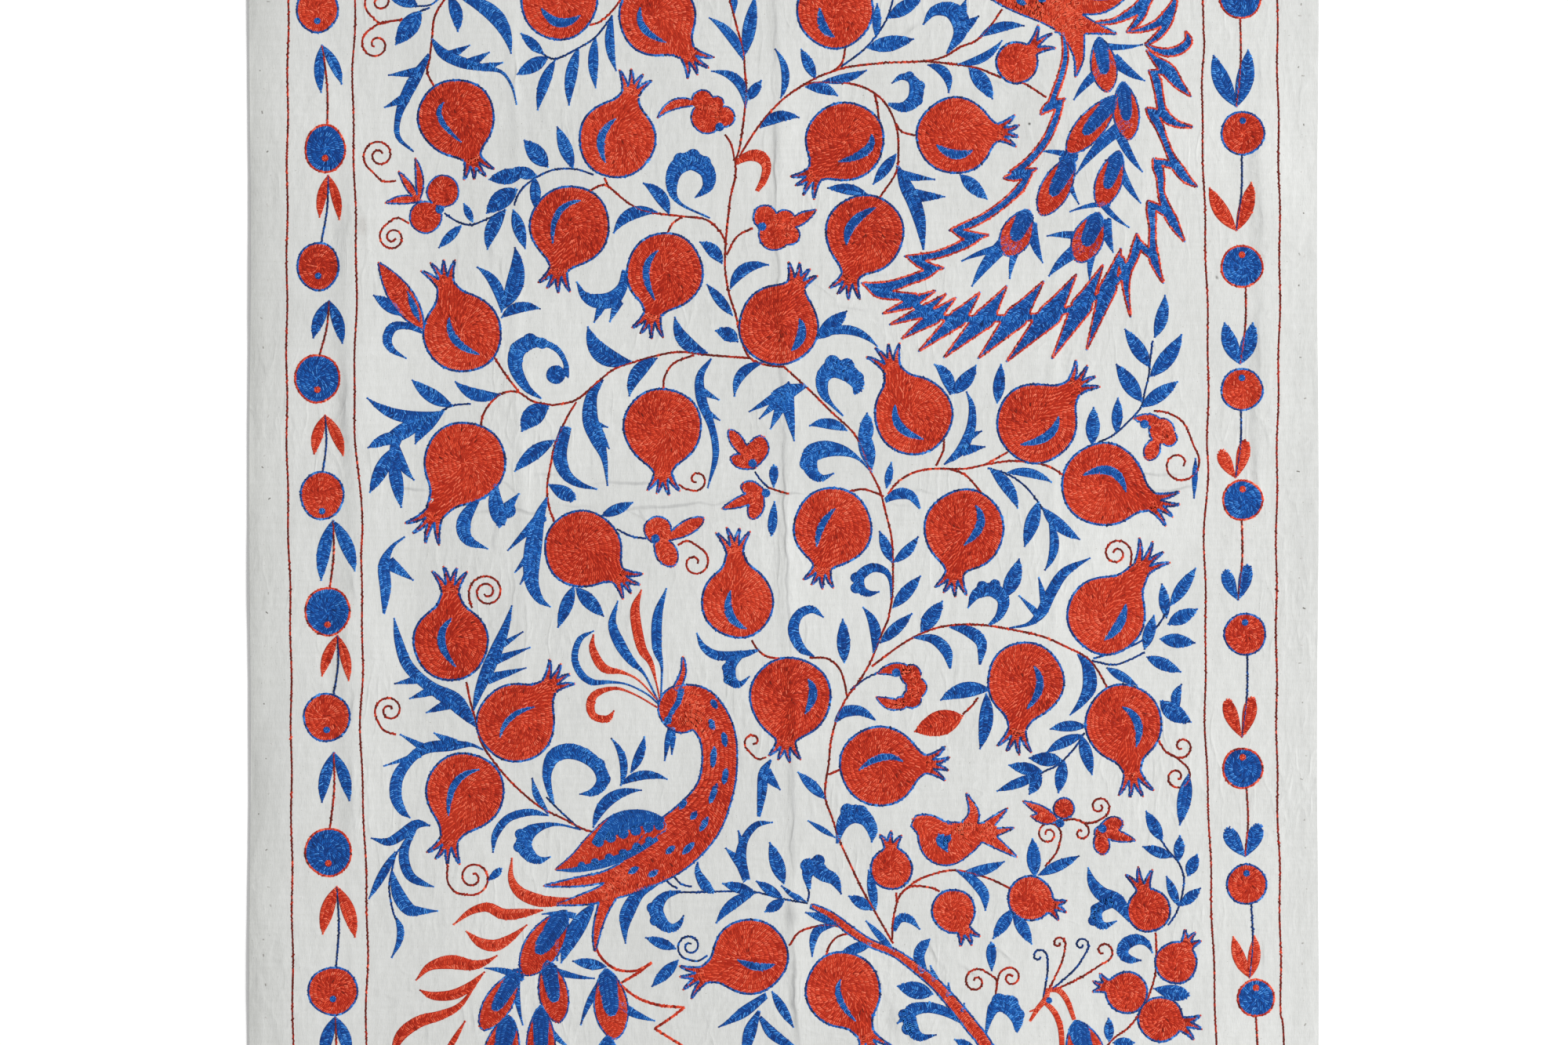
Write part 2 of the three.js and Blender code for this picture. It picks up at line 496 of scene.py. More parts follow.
def cloth_height(x, y):
    """Height of the finished cloth's face, taken between the points of its grid."""
    column = np.clip(np.searchsorted(COLUMNS, x) - 1, 0, len(COLUMNS) - 2)
    row = np.clip(np.searchsorted(ROWS, y) - 1, 0, len(ROWS) - 2)
    across = (x - COLUMNS[column]) / (COLUMNS[column + 1] - COLUMNS[column])
    along = (y - ROWS[row]) / (ROWS[row + 1] - ROWS[row])
    near = TOP[column, row] * (1 - across) + TOP[column + 1, row] * across
    far = TOP[column, row + 1] * (1 - across) + TOP[column + 1, row + 1] * across
    return near * (1 - along) + far * along


# Curves and shapes on the chart


def respace(points, step):
    """The same path with points at even steps; further columns follow along."""
    gaps = np.hypot(*np.diff(points[:, :2], axis=0).T)
    along = np.concatenate([[0], np.cumsum(gaps)])
    count = max(3, int(np.ceil(along[-1] / step)) + 1)
    at = np.linspace(0, along[-1], count)
    return np.column_stack([np.interp(at, along, column) for column in points.T])


def smooth(points):
    """A smooth path through charted points."""
    knots = np.asarray(points, float)
    if len(knots) == 2:
        return respace(knots, 1)
    ends = 2 * knots[[0, -1]] - knots[[1, -2]]
    padded = np.vstack([ends[:1], knots, ends[1:]])
    t = np.linspace(0, 1, SPAN_POINTS, endpoint=False)[:, None]
    spans = []
    for a, b, c, d in zip(padded[:-3], padded[1:-2], padded[2:-1], padded[3:]):
        bent = (2 * a - 5 * b + 4 * c - d) * t**2 + (3 * b - a - 3 * c + d) * t**3
        spans.append(0.5 * (2 * b + (c - a) * t + bent))
    path = np.vstack([*spans, knots[-1:]])
    if path.shape[1] > 2:
        path[:, 2] = np.maximum(path[:, 2], RIBBON_TIP)
    return path


def bowed(start, pull, end, t):
    """Points of a curve from start to end that bows toward a third point."""
    return np.outer((1 - t) ** 2, start) + np.outer(2 * t * (1 - t), pull) + np.outer(t**2, end)


def unit(vectors):
    return vectors / np.maximum(np.hypot(*vectors.T), TINY)[:, None]


def inside(points, edge):
    """Which points lie inside a closed edge."""
    u, v = points[:, :1], points[:, 1:2]
    here, there = edge, np.roll(edge, -1, axis=0)
    rise = there[:, 1] - here[:, 1]
    rise = np.where(np.abs(rise) < NEARLY_LEVEL, NEARLY_LEVEL, rise)
    crossing = (here[:, 1] > v) != (there[:, 1] > v)
    reach = here[:, 0] + (v - here[:, 1]) / rise * (there[:, 0] - here[:, 0])
    return (crossing & (u < reach)).sum(axis=1) % 2 == 1


class Band:
    """A shape grown along a spine of u, v, width: a leaf, a thorn, a scroll or a feather."""

    def __init__(self, spine):
        self.spine = np.asarray(spine, float)

    def sides(self, step):
        path = respace(self.spine, step)
        ahead = unit(np.gradient(path[:, :2], axis=0))
        aside = np.column_stack([-ahead[:, 1], ahead[:, 0]])
        return path, ahead, aside

    def edge(self):
        path, _, aside = self.sides(EDGE_STEP)
        half = path[:, 2:] / 2
        return np.vstack([path[:, :2] + aside * half, (path[:, :2] - aside * half)[::-1]])

    def stitches(self):
        path, ahead, aside = self.sides(STITCH_PITCH)
        width = path[:, 2]
        rows = np.maximum(1, np.round(width / ROW_WIDTH))
        found = []
        for row in range(int(rows.max())):
            here = rows > row
            offset = width * ((row + 0.5) / rows - 0.5)
            slide = STITCH_PITCH / 2 * (row % 2)
            middle = path[:, :2] + aside * offset[:, None] + ahead * slide
            lean = aside + ahead * (BAND_LEAN * np.sign(offset) * (rows > 1))[:, None]
            length = np.maximum(width / rows + STITCH_OVERLAP, SHORTEST_STITCH)
            depth = np.full(len(width), ROW_DEPTH * (row % 2))
            found.append(np.column_stack([middle, lean, length, depth])[here])
        return np.vstack(found)

    def ground(self):
        path, _, aside = self.sides(GROUND_STEP)
        columns = max(2, int(np.ceil(path[:, 2].max() / (2 * GROUND_STEP))) + 1)
        across = np.linspace(-0.5, 0.5, columns)[None, :, None]
        return path[:, None, :2] + aside[:, None] * across * path[:, None, 2:]


class Round:
    """A shape grown about a middle: a fruit, a bead or a lobe. The reach is taken by angle."""

    def __init__(self, u, v, radius, pull=0.0, pull_angle=0.0, squash=1.0):
        self.middle = np.array([u, v], float)
        self.radius = radius
        self.pull = pull
        self.pull_angle = pull_angle
        self.squash = squash

    def reach(self, angle):
        away = np.abs((angle - self.pull_angle + np.pi) % (2 * np.pi) - np.pi)
        neck = self.pull / (1 + (away / NECK_SPREAD) ** NECK_FALL)
        three = THREE_WAVES * np.sin(3 * angle + self.middle[0])
        five = FIVE_WAVES * np.sin(5 * angle + self.middle[1])
        return self.radius * (1 + neck + (three + five))

    def ring(self, angle, share):
        reach = self.reach(angle) * share
        out = np.column_stack([np.cos(angle), np.sin(angle) * self.squash])
        return self.middle + out * reach[:, None]

    def edge(self):
        return self.ring(np.linspace(0, 2 * np.pi, ROUND_POINTS, endpoint=False), 1.0)

    def stitches(self):
        rows = max(2, int(round(self.radius / ROW_WIDTH)))
        found = []
        for row in range(rows):
            share = (row + 0.5) / rows
            count = max(FEWEST_IN_RING, int(2 * np.pi * share * self.radius / STITCH_PITCH))
            angle = (np.arange(count) + RING_SHIFT * row) * 2 * np.pi / count
            middle = self.ring(angle, share)
            outward = np.column_stack([np.cos(angle), np.sin(angle)])
            around = np.column_stack([-outward[:, 1], outward[:, 0]])
            lean = outward + around * ROUND_LEAN
            length = self.reach(angle) / rows + STITCH_OVERLAP
            depth = np.full(count, 1 - share**2 + ROW_DEPTH * (row % 2))
            found.append(np.column_stack([middle, lean, length, depth]))
        return np.vstack(found)

    def ground(self):
        sides = SMALL_ROUND_SIDES if self.radius < SMALL_ROUND else ROUND_SIDES
        angle = self.pull_angle + np.linspace(0, 2 * np.pi, sides + 1)
        rings = max(2, int(np.ceil(self.radius * (1 + self.pull) / GROUND_STEP)) + 1)
        return np.stack([self.ring(angle, share) for share in np.linspace(0, 1, rings)], axis=1)


def swelling(place, fullness):
    """A profile that is pointed at both ends; a higher place moves its widest part to the tip."""
    return lambda t: np.sin(np.pi * np.minimum(t, BLUNT_TIP) ** place) ** fullness


def taper(straightness, fullness):
    """A profile that is widest at its base."""
    return lambda t: np.maximum(1 - t**straightness, 0.0) ** fullness


leaf_profile = swelling(0.88, 0.85)
pair_profile = swelling(1, 0.8)
round_profile = swelling(1.6, 0.5)
petal_profile = swelling(1.35, 0.62)
drop_profile = swelling(1.15, 0.56)
thorn_profile = taper(1, 0.8)
barb_profile = taper(2, 0.9)


def eye_profile(t):
    """The blue of a feather's eye: as wide as the feather at its top, round below its middle."""
    drawn_in = 1 - EYE_NARROWING * smoothstep(t, *EYE_NARROWS)
    return drop_profile(t) * drawn_in * np.sqrt(np.clip(1 - (t / EYE_DEPTH) ** EYE_ROUNDNESS, 0, 1))


def oval_profile(t):
    return np.sqrt(np.maximum(4 * t * (1 - t), 0.0))


def blade(base_u, base_v, tip_u, tip_v, width, bend=0.0, profile=leaf_profile):
    """A leaf, thorn or petal from its base to its tip; bend bows its spine to one side."""
    t = np.linspace(0, 1, BLADE_POINTS)
    base = np.array([base_u, base_v], float)
    tip = np.array([tip_u, tip_v], float)
    aside = np.array([base_v - tip_v, tip_u - base_u])
    middle = (base + tip) / 2 + 2 * bend * aside
    spine = bowed(base, middle, tip, t)
    return Band(np.column_stack([spine, np.maximum(width * profile(t), BLADE_TIP)]))


def crescent(start_u, start_v, middle_u, middle_v, end_u, end_v, width):
    """A thin bowed band with pointed ends."""
    t = np.linspace(0, 1, CRESCENT_POINTS)
    start, middle, end = np.array([[start_u, start_v], [middle_u, middle_v], [end_u, end_v]], float)
    spine = bowed(start, 2 * middle - (start + end) / 2, end, t)
    swell = np.sin(np.pi * t) ** CRESCENT_FULLNESS
    return Band(np.column_stack([spine, np.maximum(width * swell, CRESCENT_TIP)]))


def flame(upper_u, upper_v, waist_u, waist_v, lower_u, lower_v, width):
    """A blade pointed at both ends and widest at its waist, where it meets the next one."""
    upper, waist, lower = np.array([[upper_u, upper_v], [waist_u, waist_v], [lower_u, lower_v]], float)
    above = FLAME_UPPER[0] * upper + FLAME_UPPER[1] * waist
    below = FLAME_LOWER[0] * waist + FLAME_LOWER[1] * lower
    shoulder = FLAME_SHOULDER * width
    spine = (
        (*upper, BLADE_TIP),
        (*above, shoulder),
        (*waist, FLAME_WAIST * width),
        (*below, shoulder),
        (*lower, BLADE_TIP),
    )
    return Band(spine)


def ribbon(points):
    return Band(smooth(points))


# Sewing

STITCHES = {"red": [], "blue": [], "hem": []}
GROUND = {"red": [], "blue": []}


def other_thread(thread):
    return "red" if thread == "blue" else "blue"


def sew(thread, middle, heading, length, width, rise, tone):
    """Keeps stitches as rows of u, v, heading, length, width, rise and tone."""
    columns = [np.broadcast_to(value, len(middle)) for value in (length, width, rise, tone)]
    STITCHES[thread].append(np.column_stack([middle, unit(heading), *columns]))


def fill(shape, thread, tone=0.0, leave=(), level=0):
    """Short stitches in rows over a shape, with a thin ground of the same thread under them."""
    rows = shape.stitches()
    for other in leave:
        rows = rows[~inside(rows[:, :2], other.edge())]
    if len(rows):
        rise = STITCH_RISE + LEVEL_RISE * level
        shaded = tone + MIDDLE_TONE * rows[:, 5]
        sew(thread, rows[:, :2], rows[:, 2:4], rows[:, 4], STITCH_WIDTH, rise, shaded)
    GROUND[thread].append((shape.ground(), GROUND_RISE + LEVEL_RISE * level, tone))


def chain(path, thread, width, tone, rise=LINE_RISE):
    """A line of chain stitch along a path."""
    points = respace(path[:, :2], LINE_PITCH)
    middle = (points[1:] + points[:-1]) / 2
    step = np.diff(points, axis=0)
    sew(thread, middle, step, np.hypot(*step.T) * LINE_OVERLAP, width, rise, tone)


def outline(shapes, thread, width, tone=EDGE_TONE):
    """Chain stitch round the shapes together, not where one lies inside another."""
    edges = [shape.edge() for shape in shapes]
    for index, edge in enumerate(edges):
        points = respace(np.vstack([edge, edge[:1]]), EDGE_STEP)
        covered = np.zeros(len(points), bool)
        for other, other_edge in enumerate(edges):
            if other != index:
                covered |= inside(points, other_edge)
        runs = np.flatnonzero(np.diff(np.concatenate([[1], covered, [1]]).astype(int)))
        for start, stop in zip(runs[::2], runs[1::2]):
            if stop - start > SHORTEST_RUN:
                chain(points[start:stop], thread, width, tone, EDGE_RISE)


def inlaid(shape, thread, tone=0.0, level=1):
    """A shape sewn over another one, with its edge drawn in its own thread."""
    fill(shape, thread, tone, level=level)
    outline([shape], thread, INLAY_EDGE, tone + INLAY_EDGE_TONE)


def sewn(shapes, thread):
    """Shapes filled in one thread and outlined together in the other."""
    for shape in shapes:
        fill(shape, thread)
    outline(shapes, other_thread(thread), PLAIN_EDGE)


def tendril(thread, path, centre, turns):
    """A thin stem that ends in a curl about a centre."""
    stem = smooth(path)
    middle = np.asarray(centre, float)
    out = stem[-1] - middle
    t = np.linspace(0, 1, CURL_POINTS)
    angle = np.arctan2(out[1], out[0]) + 2 * np.pi * turns * t
    reach = np.hypot(*out) * (1 - CURL_LOSS * t**CURL_EVENNESS)
    curl = middle + np.column_stack([np.cos(angle), np.sin(angle)]) * reach[:, None]
    chain(np.vstack([stem, curl[1:]]), thread, TENDRIL_WIDTH, STEM_TONE)


# Chart of the embroidery

# Stems: points along each one
RED_STEMS = (
    ((572, -8), (555, 20), (551, 50), (548, 75), (545, 92), (554, 111)),
    ((793, -2), (780, 15), (765, 28), (752, 32)),
    ((925, 172), (933, 185), (937, 205)),
    ((771, 227), (776, 238)),
    (
        (748, 246), (765, 237), (776, 238), (800, 258), (825, 270), (870, 276), (900, 280), (918, 295),
        (927, 312),
    ),
    (
        (929, -8), (940, 35), (948, 65), (950, 90), (952, 115), (950, 140), (947, 165), (943, 190),
        (938, 205),
    ),
    ((938, 205), (938, 225), (932, 250), (929, 275), (927, 292)),
    (
        (943, 200), (955, 180), (970, 158), (990, 135), (1010, 118), (1040, 100), (1060, 92), (1085, 85),
        (1130, 80),
    ),
    ((1130, 80), (1180, 78), (1205, 72), (1225, 60), (1245, 52), (1262, 35), (1278, 12)),
    ((1078, 62), (1075, 78), (1068, 87), (1060, 92)),
    ((1180, 78), (1225, 83), (1250, 88), (1275, 98), (1305, 106), (1334, 124)),
    (
        (1028, 107), (1050, 105), (1080, 106), (1105, 113), (1125, 127), (1138, 147), (1145, 170),
        (1146, 195),
    ),
    ((1146, 195), (1143, 220), (1122, 252)),
    ((1115, 118), (1119, 135), (1121, 153)),
    ((1143, 158), (1150, 168), (1168, 173)),
    ((630, 455), (645, 478), (662, 500)),
    ((851, 298), (858, 285), (870, 277)),
    (
        (927, 292), (925, 320), (925, 345), (930, 375), (938, 400), (945, 430), (955, 455), (975, 465),
        (1000, 468),
    ),
    ((1000, 468), (1035, 500), (1060, 525), (1085, 548), (1097, 565)),
    (
        (958, 457), (905, 453), (870, 449), (845, 452), (815, 460), (785, 470), (765, 485), (735, 510),
        (705, 517),
    ),
    ((705, 517), (680, 512), (660, 500), (640, 502), (625, 515), (616, 530), (613, 545)),
    ((885, 453), (860, 463), (848, 480), (846, 497)),
    ((735, 513), (722, 535), (708, 568), (703, 590), (698, 620), (700, 645), (708, 668)),
    ((960, 291), (940, 302), (927, 325)),
    ((959, 817), (966, 828), (980, 838), (1010, 841)),
    ((980, 622), (992, 626), (1006, 630)),
    (
        (1097, 565), (1110, 600), (1122, 625), (1130, 655), (1137, 685), (1139, 720), (1138, 760),
        (1133, 790),
    ),
    (
        (1133, 790), (1122, 815), (1110, 845), (1095, 870), (1080, 890), (1068, 915), (1060, 945),
        (1057, 975),
    ),
    (
        (1057, 975), (1053, 1000), (1053, 1020), (1062, 1045), (1070, 1070), (1082, 1097), (1100, 1135),
        (1120, 1170),
    ),
    ((1120, 1170), (1139, 1203)),
    ((1083, 627), (1100, 624), (1115, 628), (1127, 633)),
    (
        (1133, 630), (1145, 615), (1165, 603), (1190, 598), (1230, 598), (1260, 592), (1290, 588),
        (1320, 590),
    ),
    ((1320, 590), (1340, 596), (1356, 606)),
    ((1204, 560), (1203, 575), (1194, 594)),
    ((1210, 598), (1230, 605), (1243, 618), (1251, 628)),
    ((1258, 592), (1285, 577)),
    (
        (1112, 850), (1150, 822), (1180, 806), (1210, 798), (1250, 797), (1290, 803), (1330, 812),
        (1360, 825),
    ),
    ((1360, 825), (1385, 838), (1400, 855), (1412, 877)),
    (
        (595, 870), (600, 895), (607, 920), (613, 945), (625, 965), (645, 990), (665, 1010), (690, 1030),
        (720, 1045),
    ),
    ((720, 1045), (745, 1058), (762, 1062)),
    ((1033, 839), (1055, 840), (1070, 852), (1077, 870), (1080, 887)),
    ((1057, 988), (1075, 980)),
    ((1228, 911), (1240, 900), (1247, 890)),
    ((1353, 1047), (1370, 1045), (1385, 1050), (1400, 1048)),
    (
        (1138, 1198), (1139, 1175), (1143, 1155), (1148, 1142), (1157, 1133), (1170, 1130), (1190, 1133),
        (1198, 1137),
    ),
    ((1143, 1139), (1144, 1150)),
    ((1157, 1133), (1170, 1123), (1190, 1115), (1215, 1110), (1240, 1114), (1265, 1122), (1290, 1134)),
    ((1007, 1206), (1018, 1190), (1035, 1183), (1055, 1180), (1075, 1182)),
    ((1085, 1190), (1068, 1195), (1057, 1208), (1053, 1225)),
    (
        (1474, 1190), (1475, 1215), (1474, 1240), (1466, 1268), (1455, 1290), (1440, 1310), (1420, 1325),
        (1408, 1340),
    ),
    ((1408, 1340), (1395, 1375), (1405, 1400)),
    ((929, -8), (920, -60), (905, -110), (900, -160), (910, -215), (922, -270), (915, -330)),
    ((902, -140), (880, -150), (848, -128)),
    ((900, -175), (930, -190), (955, -175)),
    ((908, -205), (840, -235), (760, -230), (690, -215), (640, -250), (590, -270), (572, -285)),
    ((915, -240), (880, -270), (857, -285)),
    ((918, -262), (950, -270), (973, -285)),
    ((572, -8), (580, -25), (578, -47)),
    ((1141, -8), (1142, -25), (1135, -44)),
    ((793, -2), (803, -35), (802, -72)),
    ((1470, -30), (1490, -60), (1484, -84)),
    ((1490, -60), (1512, -130), (1500, -190)),
    ((1500, -190), (1520, -250), (1505, -280)),
    ((1300, 1430), (1270, 1428), (1227, 1430)),
    ((1335, 1530), (1300, 1550), (1267, 1555)),
    ((1320, 1475), (1360, 1460), (1393, 1445)),
    ((1345, 1580), (1380, 1590), (1405, 1580)),
    ((1173, 1477), (1130, 1490), (1100, 1470)),
    ((1015, 1425), (1000, 1410), (985, 1402)),
    ((1345, 1600), (1250, 1618), (1150, 1615), (1100, 1590)),
    ((1040, 1615), (960, 1610), (935, 1580)),
)
BLUE_STEMS = (
    ((537, 14), (548, 10)),
    ((530, 8), (550, 6), (565, -8)),
    ((567, 272), (582, 282), (600, 287), (620, 280), (645, 268)),
    ((668, 238), (660, 250), (656, 262)),
    ((781, 20), (760, 47), (737, 62), (710, 75), (697, 72), (692, 68)),
    ((757, 223), (735, 216), (710, 216), (690, 223), (672, 235), (663, 245)),
    ((1141, -8), (1132, 22), (1118, 45), (1100, 65), (1073, 85)),
    ((600, 515), (575, 518), (555, 530), (535, 538)),
    (
        (1400, 565), (1420, 555), (1437, 540), (1455, 520), (1460, 500), (1465, 480), (1467, 460),
        (1470, 435),
    ),
    ((963, 602), (970, 612), (980, 622)),
    ((787, 675), (805, 684), (824, 687)),
    ((1260, 597), (1285, 605), (1305, 618), (1320, 635), (1337, 660)),
    ((1395, 840), (1427, 830), (1455, 818), (1475, 800), (1485, 785), (1491, 768)),
    ((697, 1017), (715, 1035), (740, 1058)),
    ((514, 1078), (505, 1090), (500, 1110), (497, 1125), (497, 1140), (502, 1165), (507, 1175)),
    ((1085, 880), (1105, 865), (1125, 856)),
    ((1383, 935), (1370, 955), (1350, 975), (1330, 985), (1315, 995)),
    ((1393, 843), (1420, 848), (1440, 842), (1460, 832)),
    ((1480, 1070), (1490, 1085), (1503, 1100), (1510, 1120), (1507, 1145), (1500, 1165), (1490, 1180)),
    (
        (862, 1138), (890, 1138), (920, 1137), (950, 1137), (965, 1138), (985, 1143), (1000, 1147),
        (1030, 1152),
    ),
    ((1030, 1150), (1032, 1140), (1030, 1132)),
    ((846, 1118), (855, 1128), (864, 1133)),
    ((857, 1114), (868, 1127), (882, 1131)),
)

# Tendrils: thread, points of the stem, centre of the curl, turns (clockwise on the chart)
TENDRILS = (
    ("red", ((513, 25), (485, 30), (469, 40)), (480, 57), -1.3),
    ("red", ((498, 27), (485, 30), (471, 18)), (484, 2), 1.3),
    ("red", ((505, 231), (488, 231), (474, 218)), (484, 198), 1.6),
    ("red", ((522, 285), (506, 278), (491, 288)), (501, 303), -1.6),
    ("red", ((602, 775), (599, 766), (598, 757)), (621, 755), 1.9),
    ("red", ((866, 618), (873, 623), (880, 625)), (888, 612), -1.1),
    ("red", ((865, 695), (878, 690), (896, 701)), (886, 718), 1.2),
    ("red", ((1472, 524), (1490, 527), (1510, 540), (1524, 572)), (1504, 592), 1.2),
    ("red", ((1440, 728), (1442, 720), (1443, 712)), (1424, 706), -1.5),
    ("red", ((505, 937), (489, 931), (480, 916)), (497, 906), 1.5),
    ("red", ((977, 966), (966, 968), (952, 955)), (961, 946), 0.9),
    ("red", ((1333, 1105), (1347, 1088), (1353, 1070)), (1337, 1064), -1.6),
    ("red", ((1478, 945), (1487, 959), (1500, 966)), (1507, 952), -1.1),
    ("red", ((1487, 959), (1500, 966), (1514, 978)), (1501, 991), 1.3),
    ("red", ((1370, 1045), (1378, 1047), (1385, 1052)), (1379, 1062), 1.0),
    ("red", ((1390, 1050), (1400, 1047), (1409, 1042)), (1402, 1029), -1.3),
    ("red", ((571, 1102), (571, 1124), (581, 1138), (594, 1141)), (603, 1119), -1.55),
    ("blue", ((902, 1219), (889, 1226), (872, 1222)), (880, 1207), 1.5),
    ("red", ((1270, 1268), (1271, 1250), (1258, 1240)), (1245, 1252), -1.3),
    ("red", ((1271, 1255), (1276, 1240), (1286, 1234)), (1289, 1247), 1.2),
    ("blue", ((1331, 1272), (1336, 1240), (1336, 1222)), (1325, 1220), -1.0),
    ("red", ((1338, 1262), (1354, 1228), (1359, 1206)), (1350, 1203), -1.1),
    ("blue", ((1342, 1262), (1372, 1235), (1388, 1210)), (1379, 1205), -1.1),
    ("red", ((1345, 1263), (1378, 1247), (1408, 1228)), (1407, 1213), -1.0),
)

